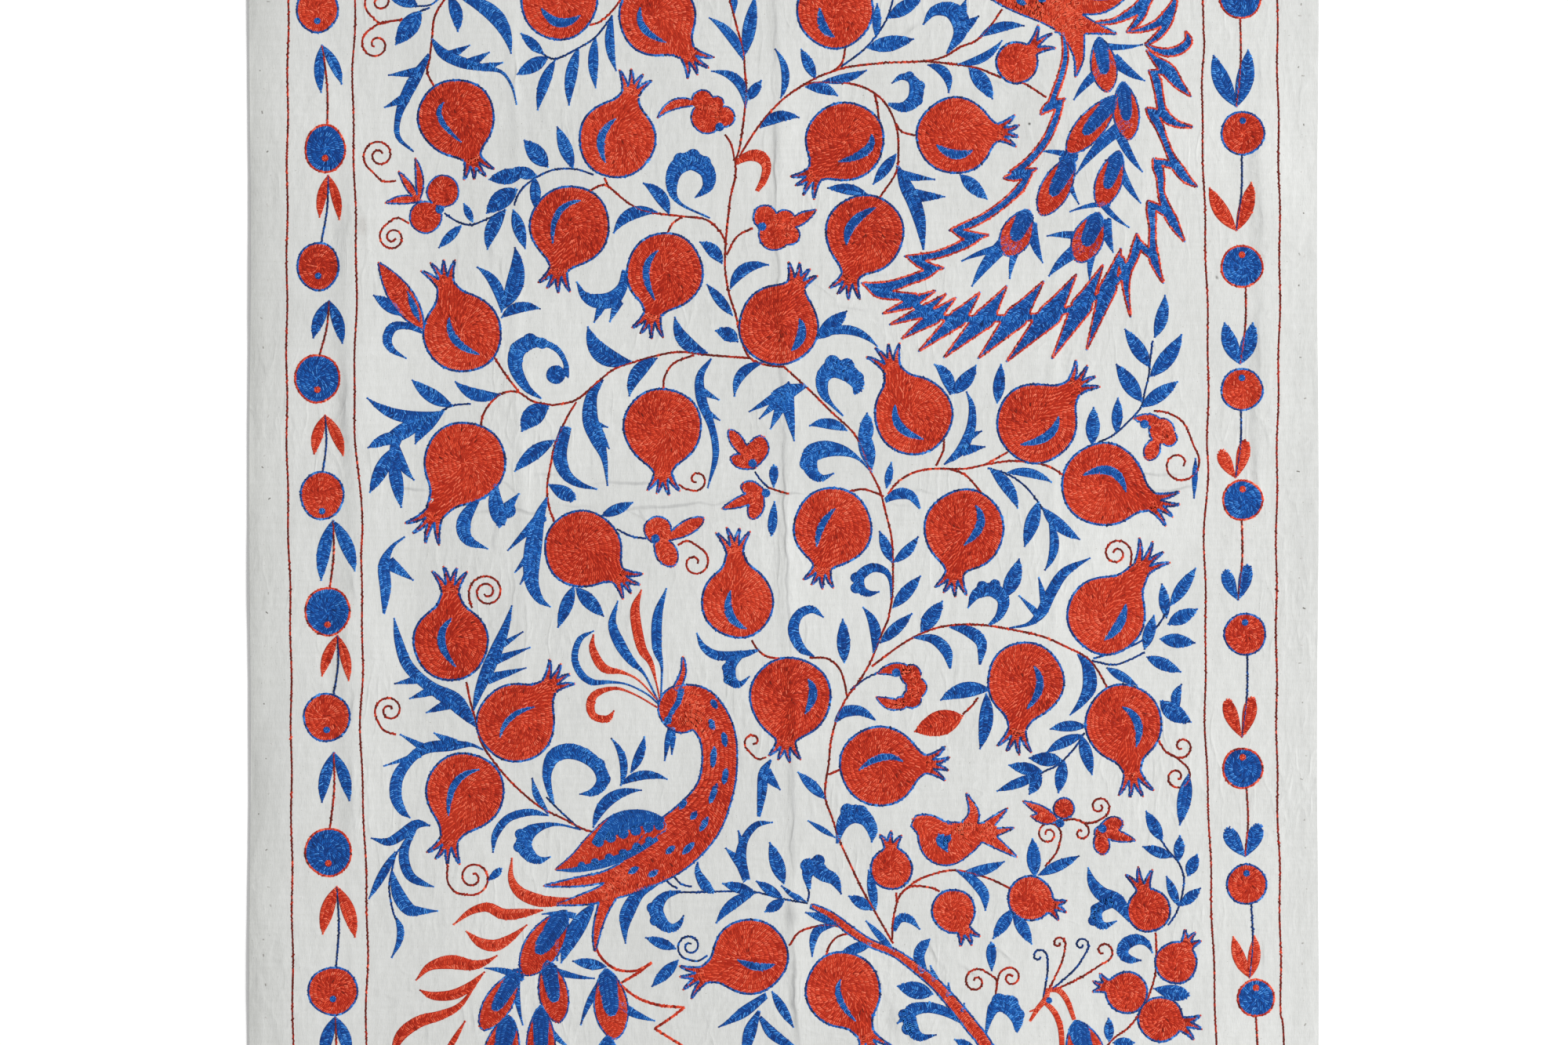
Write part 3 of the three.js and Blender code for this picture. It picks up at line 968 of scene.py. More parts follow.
# Pointed leaves: base u, base v, tip u, tip v, width, bend
BLUE_LEAVES = (
    (758, 1153, 716, 1228, 21, 0.05), (533, 8, 490, -14, 20, 0), (537, 14, 505, 57, 24, 0),
    (573, -5, 584, 40, 16, -0.08), (588, -2, 652, 68, 20, -0.18), (668, 222, 624, 229, 20, 0),
    (660, 242, 621, 272, 24, 0.05), (655, 268, 670, 317, 16, 0), (645, 268, 622, 318, 18, 0.1),
    (603, 283, 592, 260, 10, 0), (781, 21, 786, 90, 12, 0.08), (760, 48, 760, 112, 13, 0.05),
    (738, 62, 726, 134, 15, 0.05), (708, 77, 686, 140, 14, 0.05), (699, 73, 660, 95, 18, 0),
    (693, 69, 665, 43, 13, 0), (853, 273, 821, 234, 16, 0.12), (838, 271, 783, 297, 16, 0.2),
    (699, 213, 669, 179, 22, 0), (731, 214, 711, 162, 17, 0), (685, 225, 652, 216, 16, 0),
    (682, 226, 684, 268, 14, 0), (948, 76, 905, 23, 13, 0.1), (950, 70, 963, -4, 17, 0),
    (951, 137, 908, 91, 13, 0.25), (953, 128, 971, 103, 14, 0), (936, -10, 937, 16, 9, 0),
    (970, 163, 1019, 150, 15, -0.15), (996, 125, 989, 63, 10, 0.15), (1133, 23, 1177, -5, 18, 0),
    (1118, 47, 1119, 5, 11, 0), (1107, 61, 1165, 50, 20, 0), (1040, 100, 1022, 63, 14, 0),
    (1050, 104, 1105, 90, 12, 0.05), (1028, 111, 1068, 122, 15, -0.1), (1250, 47, 1306, 33, 13, -0.1),
    (1222, 82, 1278, 52, 11, 0.12), (1184, 83, 1210, 118, 13, -0.25), (1236, 87, 1266, 126, 20, -0.05),
    (1143, 197, 1114, 235, 14, 0), (1225, 223, 1259, 254, 17, 0), (1106, 248, 1056, 240, 14, 0.05),
    (588, 288, 560, 316, 12, 0), (515, 402, 477, 377, 16, 0), (640, 398, 609, 341, 14, 0.15),
    (640, 395, 657, 316, 22, 0.12), (640, 405, 689, 394, 14, -0.15), (638, 503, 581, 487, 16, -0.15),
    (577, 518, 526, 485, 18, -0.05), (565, 525, 469, 508, 16, -0.15), (566, 525, 530, 566, 18, 0.1),
    (548, 531, 480, 570, 20, 0), (805, 461, 750, 417, 24, -0.22), (838, 457, 803, 505, 18, 0.15),
    (902, 450, 861, 405, 18, -0.18), (921, 336, 893, 309, 16, 0.1), (932, 368, 980, 338, 15, -0.2),
    (934, 402, 902, 363, 13, 0), (941, 436, 913, 422, 18, 0.1), (972, 463, 937, 505, 13, 0.2),
    (700, 518, 666, 550, 26, 0.1), (1043, 432, 1080, 397, 20, 0), (1045, 430, 1119, 442, 12, -0.2),
    (1080, 549, 1033, 543, 14, 0.12), (1105, 567, 1106, 527, 18, 0), (1212, 503, 1192, 465, 16, 0.15),
    (1214, 502, 1245, 466, 18, 0.05), (1272, 514, 1277, 465, 15, 0), (1473, 430, 1486, 377, 16, 0.05),
    (1467, 468, 1435, 420, 18, 0), (1467, 480, 1507, 427, 20, 0.05), (1456, 512, 1424, 465, 20, 0),
    (1456, 519, 1502, 487, 18, 0), (1424, 552, 1426, 508, 14, 0), (1393, 567, 1395, 520, 18, 0),
    (507, 552, 470, 571, 14, 0), (504, 558, 528, 612, 13, 0.1), (501, 572, 472, 628, 18, 0),
    (500, 580, 512, 647, 17, 0), (707, 562, 657, 601, 18, 0.05), (1112, 598, 1098, 540, 20, 0),
    (1131, 622, 1137, 590, 10, 0), (1138, 717, 1122, 678, 14, 0), (1140, 717, 1171, 685, 13, 0.05),
    (1139, 775, 1174, 735, 16, 0), (1114, 832, 1101, 775, 14, 0.15), (1123, 820, 1163, 783, 15, 0),
    (1077, 845, 1075, 790, 17, 0), (1263, 598, 1298, 648, 16, -0.08), (1285, 603, 1341, 615, 12, -0.1),
    (1325, 640, 1307, 697, 18, 0), (1330, 648, 1377, 688, 16, 0.05), (1338, 665, 1333, 727, 12, -0.15),
    (1175, 806, 1202, 767, 20, 0), (1280, 762, 1300, 713, 20, 0.05), (1525, 585, 1523, 635, 7, 0),
    (1493, 772, 1525, 725, 16, 0), (1488, 788, 1482, 745, 14, 0), (1490, 796, 1527, 777, 18, 0),
    (1460, 828, 1472, 785, 15, 0), (1480, 815, 1524, 820, 18, 0), (768, 658, 807, 641, 14, 0),
    (732, 748, 712, 800, 16, 0), (735, 750, 770, 786, 18, 0), (792, 1002, 780, 942, 10, 0.15),
    (805, 985, 822, 940, 12, 0.05), (792, 1001, 851, 994, 12, -0.15), (757, 1055, 818, 1008, 15, -0.2),
    (1000, 1127, 982, 1075, 18, 0), (1053, 1019, 1018, 985, 14, 0), (1065, 1068, 1031, 1047, 7, 0),
    (1262, 880, 1200, 893, 20, 0.1), (1258, 885, 1250, 955, 18, -0.05), (1385, 927, 1340, 930, 14, 0.05),
    (1381, 938, 1335, 960, 14, 0.05), (1355, 970, 1313, 967, 18, 0), (1357, 970, 1350, 1011, 16, 0),
    (1330, 985, 1287, 976, 16, 0), (1327, 988, 1272, 1009, 13, 0), (1328, 989, 1313, 1013, 14, 0),
    (1379, 938, 1393, 988, 16, 0), (1225, 1115, 1281, 1099, 14, 0.05), (1320, 1118, 1317, 1070, 18, 0),
    (1325, 1116, 1376, 1092, 14, 0), (1412, 852, 1450, 874, 12, 0), (1463, 838, 1506, 857, 16, 0),
    (1480, 894, 1519, 921, 22, 0.05), (1503, 907, 1507, 873, 13, -0.15), (1516, 988, 1505, 1052, 18, 0),
    (1482, 1072, 1462, 1035, 16, 0), (1495, 1093, 1458, 1080, 14, 0), (1503, 1098, 1505, 1066, 14, 0),
    (1515, 1117, 1527, 1090, 16, 0), (504, 1087, 471, 1146, 11, 0), (962, 1138, 922, 1127, 14, 0),
    (963, 1139, 914, 1177, 14, 0.1), (998, 1146, 965, 1124, 13, 0), (1000, 1148, 976, 1163, 14, 0),
    (1020, 1150, 997, 1130, 6, 0), (1008, 1138, 1028, 1150, 5, 0), (773, 1233, 731, 1226, 14, 0),
    (862, 1210, 824, 1196, 14, 0), (865, 1225, 832, 1258, 15, 0), (985, 1265, 1012, 1310, 12, 0),
    (1070, 1178, 1028, 1164, 11, 0), (1112, 1203, 1072, 1216, 14, 0), (1140, 1213, 1105, 1175, 9, 0),
    (1117, 1160, 1108, 1110, 12, 0), (1113, 1160, 1083, 1143, 15, 0), (1292, 1160, 1267, 1197, 16, 0),
    (1293, 1163, 1316, 1204, 16, 0), (1190, 1268, 1145, 1258, 22, 0), (1245, 1340, 1218, 1326, 12, 0),
    (1503, 1155, 1488, 1118, 12, 0), (1506, 1155, 1531, 1133, 14, 0), (1415, 1328, 1414, 1299, 13, 0),
    (1420, 1330, 1447, 1330, 14, 0),
)

# Pointed leaves of the two ends: base u, base v, tip u, tip v, width
END_LEAVES = (
    (912, -90, 870, -60, 16), (908, -100, 955, -75, 16), (903, -165, 868, -195, 14),
    (906, -215, 950, -240, 15), (840, -235, 825, -195, 14), (760, -230, 740, -275, 16),
    (700, -216, 730, -180, 15), (640, -250, 650, -300, 15), (600, -268, 610, -225, 14),
    (919, -290, 875, -320, 16), (919, -300, 965, -335, 16), (580, -30, 625, -55, 15),
    (576, -30, 525, -35, 15), (802, -50, 840, -75, 14), (802, -45, 765, -60, 14),
    (1142, -20, 1178, -15, 13), (930, -190, 935, -150, 13), (1275, -275, 1235, -290, 15),
    (1235, -290, 1205, -260, 14), (1512, -130, 1525, -165, 12), (1270, 1430, 1250, 1385, 14),
    (1262, 1430, 1250, 1472, 14), (1300, 1550, 1285, 1510, 14), (1360, 1460, 1372, 1415, 15),
    (1370, 1457, 1395, 1495, 15), (1380, 1590, 1388, 1545, 14), (1130, 1490, 1150, 1525, 14),
    (1000, 1410, 1012, 1370, 14), (1150, 1615, 1130, 1580, 13), (960, 1610, 975, 1585, 12),
    (1405, 1390, 1440, 1370, 14), (1395, 1375, 1365, 1395, 13), (500, 1345, 490, 1400, 14),
    (490, 1420, 520, 1445, 13), (885, 1345, 850, 1350, 12), (1505, 1385, 1525, 1345, 14),
    (1510, 1390, 1530, 1430, 14),
)

# Round-ended leaves: base u, base v, tip u, tip v, width
ROUND_LEAVES = (
    (700, 618, 734, 637, 18), (987, 621, 987, 593, 12), (988, 640, 984, 683, 12),
    (623, 1123, 640, 1108, 10), (1265, 1238, 1264, 1202, 13), (1472, 1261, 1517, 1270, 20),
)

# Single leaves, red and red with a blue stripe: base u, base v, tip u, tip v, width
RED_LEAF = (1228, 913, 1167, 933, 32)
STRIPED_LEAF = (540, 420, 483, 335, 30)
LEAF_STRIPE = (535, 410, 520, 372, 9)

# Scrolls and curled leaves: u, v, width along each one
BLUE_SCROLLS = (
    (
        (887, 252, 1), (903, 238, 14), (902, 218, 20), (882, 205, 24), (862, 216, 20), (857, 240, 13),
        (868, 260, 4), (905, 278, 2),
    ),
    ((1178, 31, 1), (1190, 15, 12), (1210, 12, 20), (1224, 24, 24), (1224, 44, 16), (1208, 68, 2)),
    (
        (1138, 106, 1), (1150, 98, 8), (1163, 101, 12), (1169, 114, 18), (1166, 128, 18), (1152, 137, 13),
        (1134, 133, 4),
    ),
    ((538, 424, 3), (520, 416, 8), (502, 417, 12), (494, 432, 12), (500, 446, 8), (518, 457, 1)),
    (
        (690, 508, 2), (672, 495, 10), (658, 470, 17), (660, 448, 20), (675, 437, 18), (695, 438, 9),
        (712, 447, 7), (722, 465, 6), (721, 480, 10),
    ),
    (
        (1075, 530, 2), (1060, 515, 5), (1050, 500, 13), (1050, 480, 18), (1065, 470, 24),
        (1085, 478, 22), (1095, 492, 16), (1090, 502, 4),
    ),
    ((608, 638, 8), (592, 665, 18), (596, 688, 14), (622, 700, 1)),
    ((722, 545, 14), (714, 580, 18), (722, 605, 14), (740, 618, 8), (761, 624, 1)),
    ((968, 829, 3), (945, 835, 10), (915, 836, 12), (897, 825, 8), (889, 808, 1)),
    ((1050, 787, 1), (1035, 777, 10), (1018, 785, 12), (1012, 805, 14), (1022, 827, 11), (1038, 837, 2)),
    (
        (1112, 602, 2), (1095, 585, 4), (1075, 575, 14), (1050, 573, 22), (1033, 582, 22),
        (1036, 602, 16), (1048, 610, 9), (1063, 604, 1),
    ),
    ((1130, 638, 6), (1145, 630, 14), (1162, 632, 12), (1173, 648, 3)),
    (
        (1137, 762, 2), (1136, 742, 4), (1130, 729, 8), (1113, 724, 12), (1097, 735, 13), (1098, 751, 12),
        (1108, 757, 8), (1121, 755, 1),
    ),
    ((1262, 797, 3), (1275, 785, 10), (1280, 765, 16), (1265, 752, 18), (1245, 758, 13), (1235, 775, 1)),
    ((1165, 813, 2), (1190, 815, 12), (1207, 830, 14), (1212, 852, 3)),
    ((1212, 800, 2), (1235, 805, 14), (1252, 820, 14), (1250, 847, 3)),
    ((548, 1053, 1), (532, 1051, 12), (512, 1065, 13), (495, 1074, 10), (474, 1069, 1)),
    ((629, 1087, 1), (632, 1065, 9), (648, 1044, 10), (675, 1036, 9), (699, 1040, 2)),
    (
        (740, 1058, 2), (715, 1052, 3), (695, 1053, 8), (675, 1062, 18), (668, 1078, 20), (678, 1093, 15),
        (690, 1097, 8), (702, 1093, 1),
    ),
    (
        (706, 1025, 3), (700, 1005, 8), (698, 985, 12), (706, 965, 18), (725, 958, 20), (746, 964, 18),
        (763, 978, 16), (769, 996, 16), (758, 1010, 11), (740, 1013, 1),
    ),
    ((699, 1037, 3), (685, 1015, 9), (679, 993, 1)),
    ((948, 832, 8), (932, 848, 15), (932, 866, 15), (943, 873, 8), (956, 863, 1)),
    ((1066, 920, 4), (1078, 908, 14), (1098, 907, 12), (1116, 918, 2)),
    (
        (1068, 1075, 3), (1075, 1050, 16), (1090, 1038, 24), (1105, 1045, 18), (1113, 1060, 13),
        (1112, 1074, 1),
    ),
    ((1375, 835, 2), (1387, 850, 14), (1390, 875, 18), (1380, 895, 10), (1365, 912, 1)),
    ((500, 1112, 3), (508, 1140, 16), (522, 1160, 16), (540, 1162, 8), (558, 1162, 1)),
    ((505, 1170, 2), (511, 1185, 9), (509, 1202, 7), (500, 1221, 1)),
    ((531, 1056, 3), (517, 1080, 11), (516, 1100, 13), (524, 1118, 12), (540, 1127, 7), (553, 1131, 1)),
    ((838, 1128, 3), (815, 1140, 14), (800, 1165, 18), (797, 1185, 9), (798, 1203, 1)),
    (
        (868, 1137, 3), (848, 1143, 11), (837, 1160, 18), (845, 1178, 16), (857, 1184, 11),
        (867, 1178, 7), (872, 1168, 1),
    ),
    ((890, 1100, 1), (890, 1112, 8), (900, 1130, 14), (910, 1138, 4)),
    ((977, 1270, 8), (950, 1290, 14), (930, 1303, 6), (917, 1310, 1)),
    ((968, 1290, 4), (957, 1315, 16), (950, 1345, 8)),
    ((970, 1298, 5), (985, 1318, 14), (1012, 1337, 8)),
    (
        (1032, 1133, 4), (1030, 1115, 14), (1038, 1104, 22), (1050, 1115, 18), (1064, 1122, 14),
        (1073, 1140, 1),
    ),
    ((1066, 1180, 2), (1045, 1185, 11), (1037, 1200, 9), (1036, 1220, 1)),
    ((1141, 1187, 4), (1147, 1172, 11), (1160, 1172, 10), (1173, 1185, 1)),
    ((1220, 1110, 2), (1240, 1122, 12), (1255, 1140, 13), (1257, 1161, 1)),
    ((1178, 1240, 10), (1172, 1220, 14), (1177, 1207, 13), (1186, 1198, 2)),
    (
        (1228, 1305, 3), (1205, 1290, 12), (1180, 1285, 14), (1160, 1292, 18), (1165, 1315, 16),
        (1175, 1323, 10), (1194, 1320, 1),
    ),
    (
        (1257, 1320, 2), (1262, 1300, 8), (1268, 1285, 16), (1282, 1280, 24), (1293, 1290, 20),
        (1298, 1303, 14), (1297, 1316, 3),
    ),
    (
        (1388, 1107, 1), (1393, 1125, 12), (1405, 1140, 18), (1425, 1150, 20), (1435, 1165, 10),
        (1440, 1175, 2),
    ),
    ((1420, 1150, 14), (1402, 1158, 14), (1398, 1170, 15), (1407, 1181, 10), (1424, 1175, 1)),
    (
        (1470, 1215, 1), (1463, 1203, 8), (1450, 1198, 14), (1435, 1205, 16), (1432, 1217, 14),
        (1442, 1224, 10), (1455, 1225, 1),
    ),
)
RED_SCROLLS = (
    ((1314, 1302, 3), (1324, 1286, 6), (1333, 1275, 7), (1337, 1262, 6)),
    ((1336, 1263, 5), (1350, 1263, 7), (1361, 1276, 7), (1370, 1300, 5)),
    ((1331, 1277, 5), (1345, 1291, 7), (1353, 1312, 7), (1355, 1345, 6)),
    ((1324, 1287, 5), (1314, 1290, 1)),
    ((939, 208, 5), (955, 199, 13), (970, 200, 16), (978, 212, 12), (974, 230, 9), (966, 243, 5)),
)

# Blue spot where red scrolls meet: u, v, radius
SCROLL_SPOT = (1338, 1276, 4)

# Lobes that end a scroll: u, v, radius
BLUE_LOBES = (
    (709, 478, 12), (648, 651, 10), (660, 446, 10), (676, 434, 9), (692, 438, 7), (868, 204, 9),
    (884, 199, 9), (899, 207, 8), (1160, 97, 6), (1173, 110, 7), (1170, 128, 7), (1062, 463, 10),
    (1080, 467, 10), (1094, 482, 8), (1036, 575, 9), (1028, 592, 8), (1052, 570, 8), (1092, 737, 7),
    (1092, 750, 7), (1253, 748, 7), (1269, 746, 7), (746, 962, 8), (763, 976, 9), (771, 994, 8),
    (664, 1064, 7), (662, 1080, 7), (1081, 1034, 9), (1098, 1036, 9), (1109, 1050, 7), (1030, 1104, 9),
    (1044, 1098, 8), (1274, 1276, 9), (1290, 1279, 9), (1300, 1294, 7), (1153, 1294, 7), (1158, 1312, 8),
    (1398, 1160, 7), (1395, 1174, 7), (832, 1158, 7), (836, 1174, 7), (927, 852, 6), (929, 867, 6),
)

# Thorns on scrolls: base u, base v, tip u, tip v, width
BLUE_THORNS = ((1225, 20, 1232, 0, 16), (1230, 35, 1248, 21, 16), (1160, 1293, 1145, 1305, 14))

# Barbed leaves: u, v, width along the spine, then thorns as above
BARBED_LEAVES = (
    (
        ((547, 70, 4), (532, 96, 14), (518, 122, 14), (508, 150, 8), (508, 175, 6), (527, 193, 2)),
        ((534, 92, 496, 96, 14), (520, 124, 491, 137, 14)),
    ),
    (
        (
            (551, 50, 3), (565, 68, 13), (590, 80, 14), (615, 86, 9), (640, 92, 4), (653, 110, 3),
            (659, 133, 1),
        ),
        ((572, 72, 599, 58, 14), (598, 82, 624, 67, 15), (618, 86, 641, 80, 11)),
    ),
    (
        ((1145, 212, 4), (1155, 236, 16), (1166, 258, 18), (1174, 285, 14), (1178, 318, 2)),
        ((1150, 224, 1192, 229, 14), (1163, 250, 1205, 251, 20)),
    ),
    (
        ((797, 346, 8), (794, 366, 13), (780, 382, 20), (760, 384, 18), (745, 377, 10), (736, 360, 1)),
        ((770, 385, 758, 411, 14), (789, 384, 778, 410, 14)),
    ),
    (
        ((907, 458, 2), (893, 480, 10), (895, 510, 13), (908, 545, 9), (913, 580, 8), (903, 622, 1)),
        ((893, 498, 917, 510, 12), (899, 524, 918, 536, 10)),
    ),
    (
        ((1027, 492, 6), (1005, 500, 20), (992, 508, 22)),
        (
            (1010, 495, 956, 525, 18), (1005, 500, 969, 534, 16), (1003, 503, 983, 547, 20),
            (1003, 506, 1013, 562, 20),
        ),
    ),
    (((540, 532, 8), (515, 546, 12), (505, 565, 12), (500, 585, 8)), ()),
    (((632, 618, 6), (632, 640, 18), (637, 658, 20), (640, 670, 9)), ((640, 655, 662, 630, 18),)),
    (
        ((698, 635, 3), (688, 660, 14), (680, 700, 22), (678, 740, 18), (688, 764, 10), (702, 774, 1)),
        ((692, 658, 648, 702, 16), (684, 698, 657, 730, 14), (681, 714, 664, 745, 12)),
    ),
    (
        ((516, 685, 2), (500, 698, 5), (490, 720, 14), (492, 750, 14), (490, 782, 3)),
        ((496, 718, 527, 740, 18),),
    ),
    (
        ((769, 485, 2), (755, 505, 14), (753, 535, 20), (762, 560, 18), (771, 585, 8), (775, 619, 1)),
        ((757, 540, 775, 545, 10), (760, 548, 777, 572, 17)),
    ),
    (
        ((1233, 500, 1), (1240, 520, 8), (1238, 548, 12), (1225, 575, 12), (1205, 592, 2)),
        ((1238, 556, 1252, 550, 10), (1228, 574, 1256, 570, 16)),
    ),
    (
        (
            (1288, 801, 2), (1312, 796, 5), (1328, 782, 13), (1340, 757, 14), (1358, 730, 12),
            (1390, 712, 1),
        ),
        ((1324, 784, 1300, 760, 10), (1333, 770, 1325, 737, 12)),
    ),
    (
        (
            (503, 789, 1), (508, 815, 10), (518, 845, 14), (535, 865, 14), (555, 880, 16), (578, 893, 22),
            (594, 910, 16), (606, 926, 2),
        ),
        ((536, 866, 504, 872, 12), (553, 880, 523, 891, 14), (577, 896, 544, 909, 16)),
    ),
    (
        ((653, 773, 1), (645, 800, 10), (633, 830, 16), (620, 860, 16), (610, 885, 10), (604, 906, 2)),
        ((642, 822, 667, 806, 8), (632, 842, 676, 826, 12), (622, 866, 671, 852, 14)),
    ),
    (
        (
            (616, 956, 2), (600, 950, 5), (575, 951, 14), (545, 954, 14), (525, 967, 12), (508, 990, 15),
            (505, 1015, 15), (513, 1034, 10), (523, 1043, 1),
        ),
        ((580, 950, 554, 935, 15), (546, 957, 511, 937, 12), (536, 962, 490, 977, 9)),
    ),
    (((983, 970, 3), (974, 985, 12), (972, 1010, 12), (968, 1041, 4)), ((976, 986, 995, 1007, 18),)),
    (
        ((985, 1049, 1), (965, 1052, 8), (950, 1070, 10), (945, 1095, 14), (952, 1122, 10)),
        ((948, 1082, 942, 1060, 10), (946, 1102, 926, 1082, 15)),
    ),
)

# Pomegranates: u, v, radius, tip of the crown u, v
POMEGRANATES = (
    (582, 150, 48, 613, 228), (713, 2, 48, 700, -88), (838, 22, 48, 898, 92), (787, 178, 48, 813, 90),
    (1065, 13, 48, 1050, -80), (1078, 180, 49, 1019, 244), (1218, 173, 48, 1301, 167),
    (1297, 80, 26, 1341, 42), (727, 288, 50, 705, 372), (1103, 298, 49, 1075, 380),
    (590, 425, 49, 557, 332), (848, 346, 48, 824, 430), (993, 415, 50, 1027, 338),
    (845, 545, 49, 846, 632), (1165, 530, 49, 1124, 440), (1322, 540, 50, 1393, 472),
    (593, 590, 51, 534, 688), (575, 820, 47, 574, 722), (743, 700, 48, 812, 752),
    (941, 768, 45, 935, 672), (1062, 672, 49, 1042, 750), (1230, 675, 50, 1211, 760),
    (1407, 618, 52, 1502, 652), (1411, 785, 49, 1478, 696), (658, 922, 49, 722, 852),
    (593, 1010, 49, 563, 1101), (1008, 890, 51, 1000, 972), (1308, 868, 48, 1292, 962),
    (1122, 977, 50, 1212, 974), (1137, 1108, 26, 1136, 1060), (1433, 922, 48, 1450, 1018),
    (957, 1220, 47, 868, 1255), (1075, 1262, 47, 1120, 1350), (1216, 1162, 27, 1240, 1205),
    (1314, 1146, 28, 1360, 1163), (1465, 1161, 27, 1451, 1106), (1500, 1228, 26, 1524, 1189),
    (1437, 1266, 26, 1394, 1252), (1480, 1300, 28, 1533, 1312), (575, -95, 48, 520, -165),
    (800, -120, 48, 770, -205), (640, -190, 47, 700, -265), (525, -290, 46, 600, -330),
    (810, -290, 47, 735, -330), (1000, -150, 48, 1070, -205), (1125, -90, 46, 1100, -175),
    (1020, -290, 47, 1105, -310), (1180, -320, 25, 1225, -340), (1482, -110, 26, 1460, -155),
    (1478, -205, 27, 1445, -250), (1495, -305, 25, 1520, -350), (940, 1400, 47, 865, 1440),
    (1060, 1440, 48, 1000, 1515), (1180, 1430, 47, 1120, 1345), (1440, 1440, 48, 1505, 1510),
    (1220, 1555, 47, 1140, 1540), (1060, 1570, 46, 975, 1560), (910, 1545, 44, 920, 1470),
    (1450, 1570, 45, 1525, 1590),
)

# Sepals of a fruit's crown: place across its neck, spread to the side, share of the length
SEPALS = ((-1, -0.62, 0.95), (-0.3, -0.2, 1.0), (0.35, 0.22, 0.93), (1, 0.62, 0.9))
SMALL_SEPALS = ((-1, -0.55, 0.92), (0, 0.03, 1.0), (1, 0.6, 0.86))

# Crescents inside the fruit: start u, v, middle u, v, end u, v, width
CRESCENTS = (
    (566, 131, 562, 152, 588, 181, 6), (691, 11, 713, 29, 740, 20, 11), (740, 256, 712, 272, 705, 310, 7),
    (573, 406, 581, 434, 611, 452, 9), (785, 152, 767, 176, 772, 207, 9), (817, 10, 821, 36, 849, 54, 8),
    (1046, 11, 1050, 34, 1064, 47, 10), (1112, 172, 1104, 193, 1070, 206, 10),
    (1117, 265, 1088, 285, 1080, 312, 11), (839, 320, 824, 346, 835, 382, 8),
    (1020, 407, 1022, 428, 1010, 447, 11), (1142, 517, 1148, 544, 1177, 560, 10),
    (1195, 185, 1217, 197, 1240, 192, 11), (1350, 532, 1336, 556, 1302, 567, 10),
    (1382, 606, 1417, 601, 1436, 627, 11), (1245, 645, 1250, 670, 1230, 695, 10),
    (576, 789, 563, 817, 581, 850, 9), (681, 902, 652, 915, 638, 940, 6),
    (611, 982, 581, 999, 572, 1040, 8), (932, 754, 931, 784, 952, 802, 10),
    (1065, 649, 1048, 671, 1042, 697, 8), (1031, 867, 1037, 886, 1027, 910, 10),
    (1096, 982, 1125, 966, 1151, 971, 8), (941, 1224, 965, 1233, 988, 1230, 9),
    (1072, 1250, 1071, 1274, 1091, 1302, 7), (1319, 850, 1326, 876, 1310, 904, 9),
    (1432, 902, 1451, 922, 1449, 952, 10), (1436, 771, 1427, 797, 1409, 816, 11),
    (555, -117, 556, -91, 583, -65, 8), (822, -144, 824, -118, 804, -92, 9),
    (620, -212, 621, -186, 648, -160, 8), (499, -282, 517, -310, 549, -306, 9),
    (832, -314, 834, -288, 814, -262, 9), (980, -172, 981, -146, 1008, -120, 8),
    (1099, -82, 1117, -110, 1149, -106, 9), (1000, -312, 1001, -286, 1028, -260, 8),
    (962, 1376, 964, 1402, 944, 1428, 9), (1040, 1418, 1041, 1444, 1068, 1470, 8),
    (1154, 1438, 1172, 1410, 1204, 1414, 9), (1462, 1416, 1464, 1442, 1444, 1468, 9),
    (1200, 1533, 1201, 1559, 1228, 1585, 8), (1034, 1578, 1052, 1550, 1084, 1554, 9),
    (932, 1521, 934, 1547, 914, 1573, 9), (1430, 1548, 1431, 1574, 1458, 1600, 8),
)

# Flower buds: lobes as u, v, radius; petals as base u, v, tip u, v, width, bend; calyx u, v
BUDS = (
    (
        ((565, 244, 20), (543, 277, 20)),
        ((534, 256, 530, 202, 9, 0.06), (534, 256, 509, 219, 9, 0), (538, 256, 492, 259, 10, 0.06)),
        (561, 267),
    ),
    (
        ((896, 128, 13), (914, 132, 9), (924, 149, 13), (902, 150, 20)),
        ((892, 134, 839, 150, 12, 0.18),),
        (918, 162),
    ),
    (
        ((976, 277, 15), (1001, 281, 13), (988, 299, 20), (1008, 300, 12)),
        ((1003, 290, 1041, 268, 14, 0),),
        (972, 289),
    ),
    (
        ((962, 577, 13),),
        ((957, 588, 930, 548, 16, 0), (962, 597, 971, 556, 26, 0), (964, 597, 932, 583, 17, 0)),
        (960, 591),
    ),
    (
        ((965, 631, 10),),
        ((976, 627, 945, 620, 18, 0), (976, 628, 921, 649, 14, 0), (973, 628, 958, 662, 19, 0)),
        (977, 629),
    ),
    (((839, 676, 17),), ((846, 690, 898, 661, 18, 0), (836, 681, 860, 722, 27, 0)), (836, 687)),
    (
        ((1482, 550, 16), (1491, 559, 10)),
        ((1477, 556, 1464, 587, 20, 0), (1486, 544, 1446, 534, 15, 0.08)),
        (1460, 541),
    ),
    (
        ((1162, 861, 13), (1169, 877, 13), (1163, 891, 12), (1149, 897, 8)),
        ((1166, 857, 1119, 859, 15, 0.1), (1156, 899, 1118, 889, 14, -0.1)),
        (1143, 858),
    ),
    (
        ((1357, 1031, 13),),
        ((1348, 1044, 1305, 1022, 11, 0), (1348, 1047, 1315, 1041, 13, 0)),
        (1352, 1050),
    ),
    (
        ((1404, 1062, 8),),
        (
            (1400, 1058, 1432, 1048, 20, 0), (1400, 1060, 1448, 1072, 14, 0),
            (1401, 1058, 1408, 1090, 20, 0),
        ),
        (1406, 1057),
    ),
)

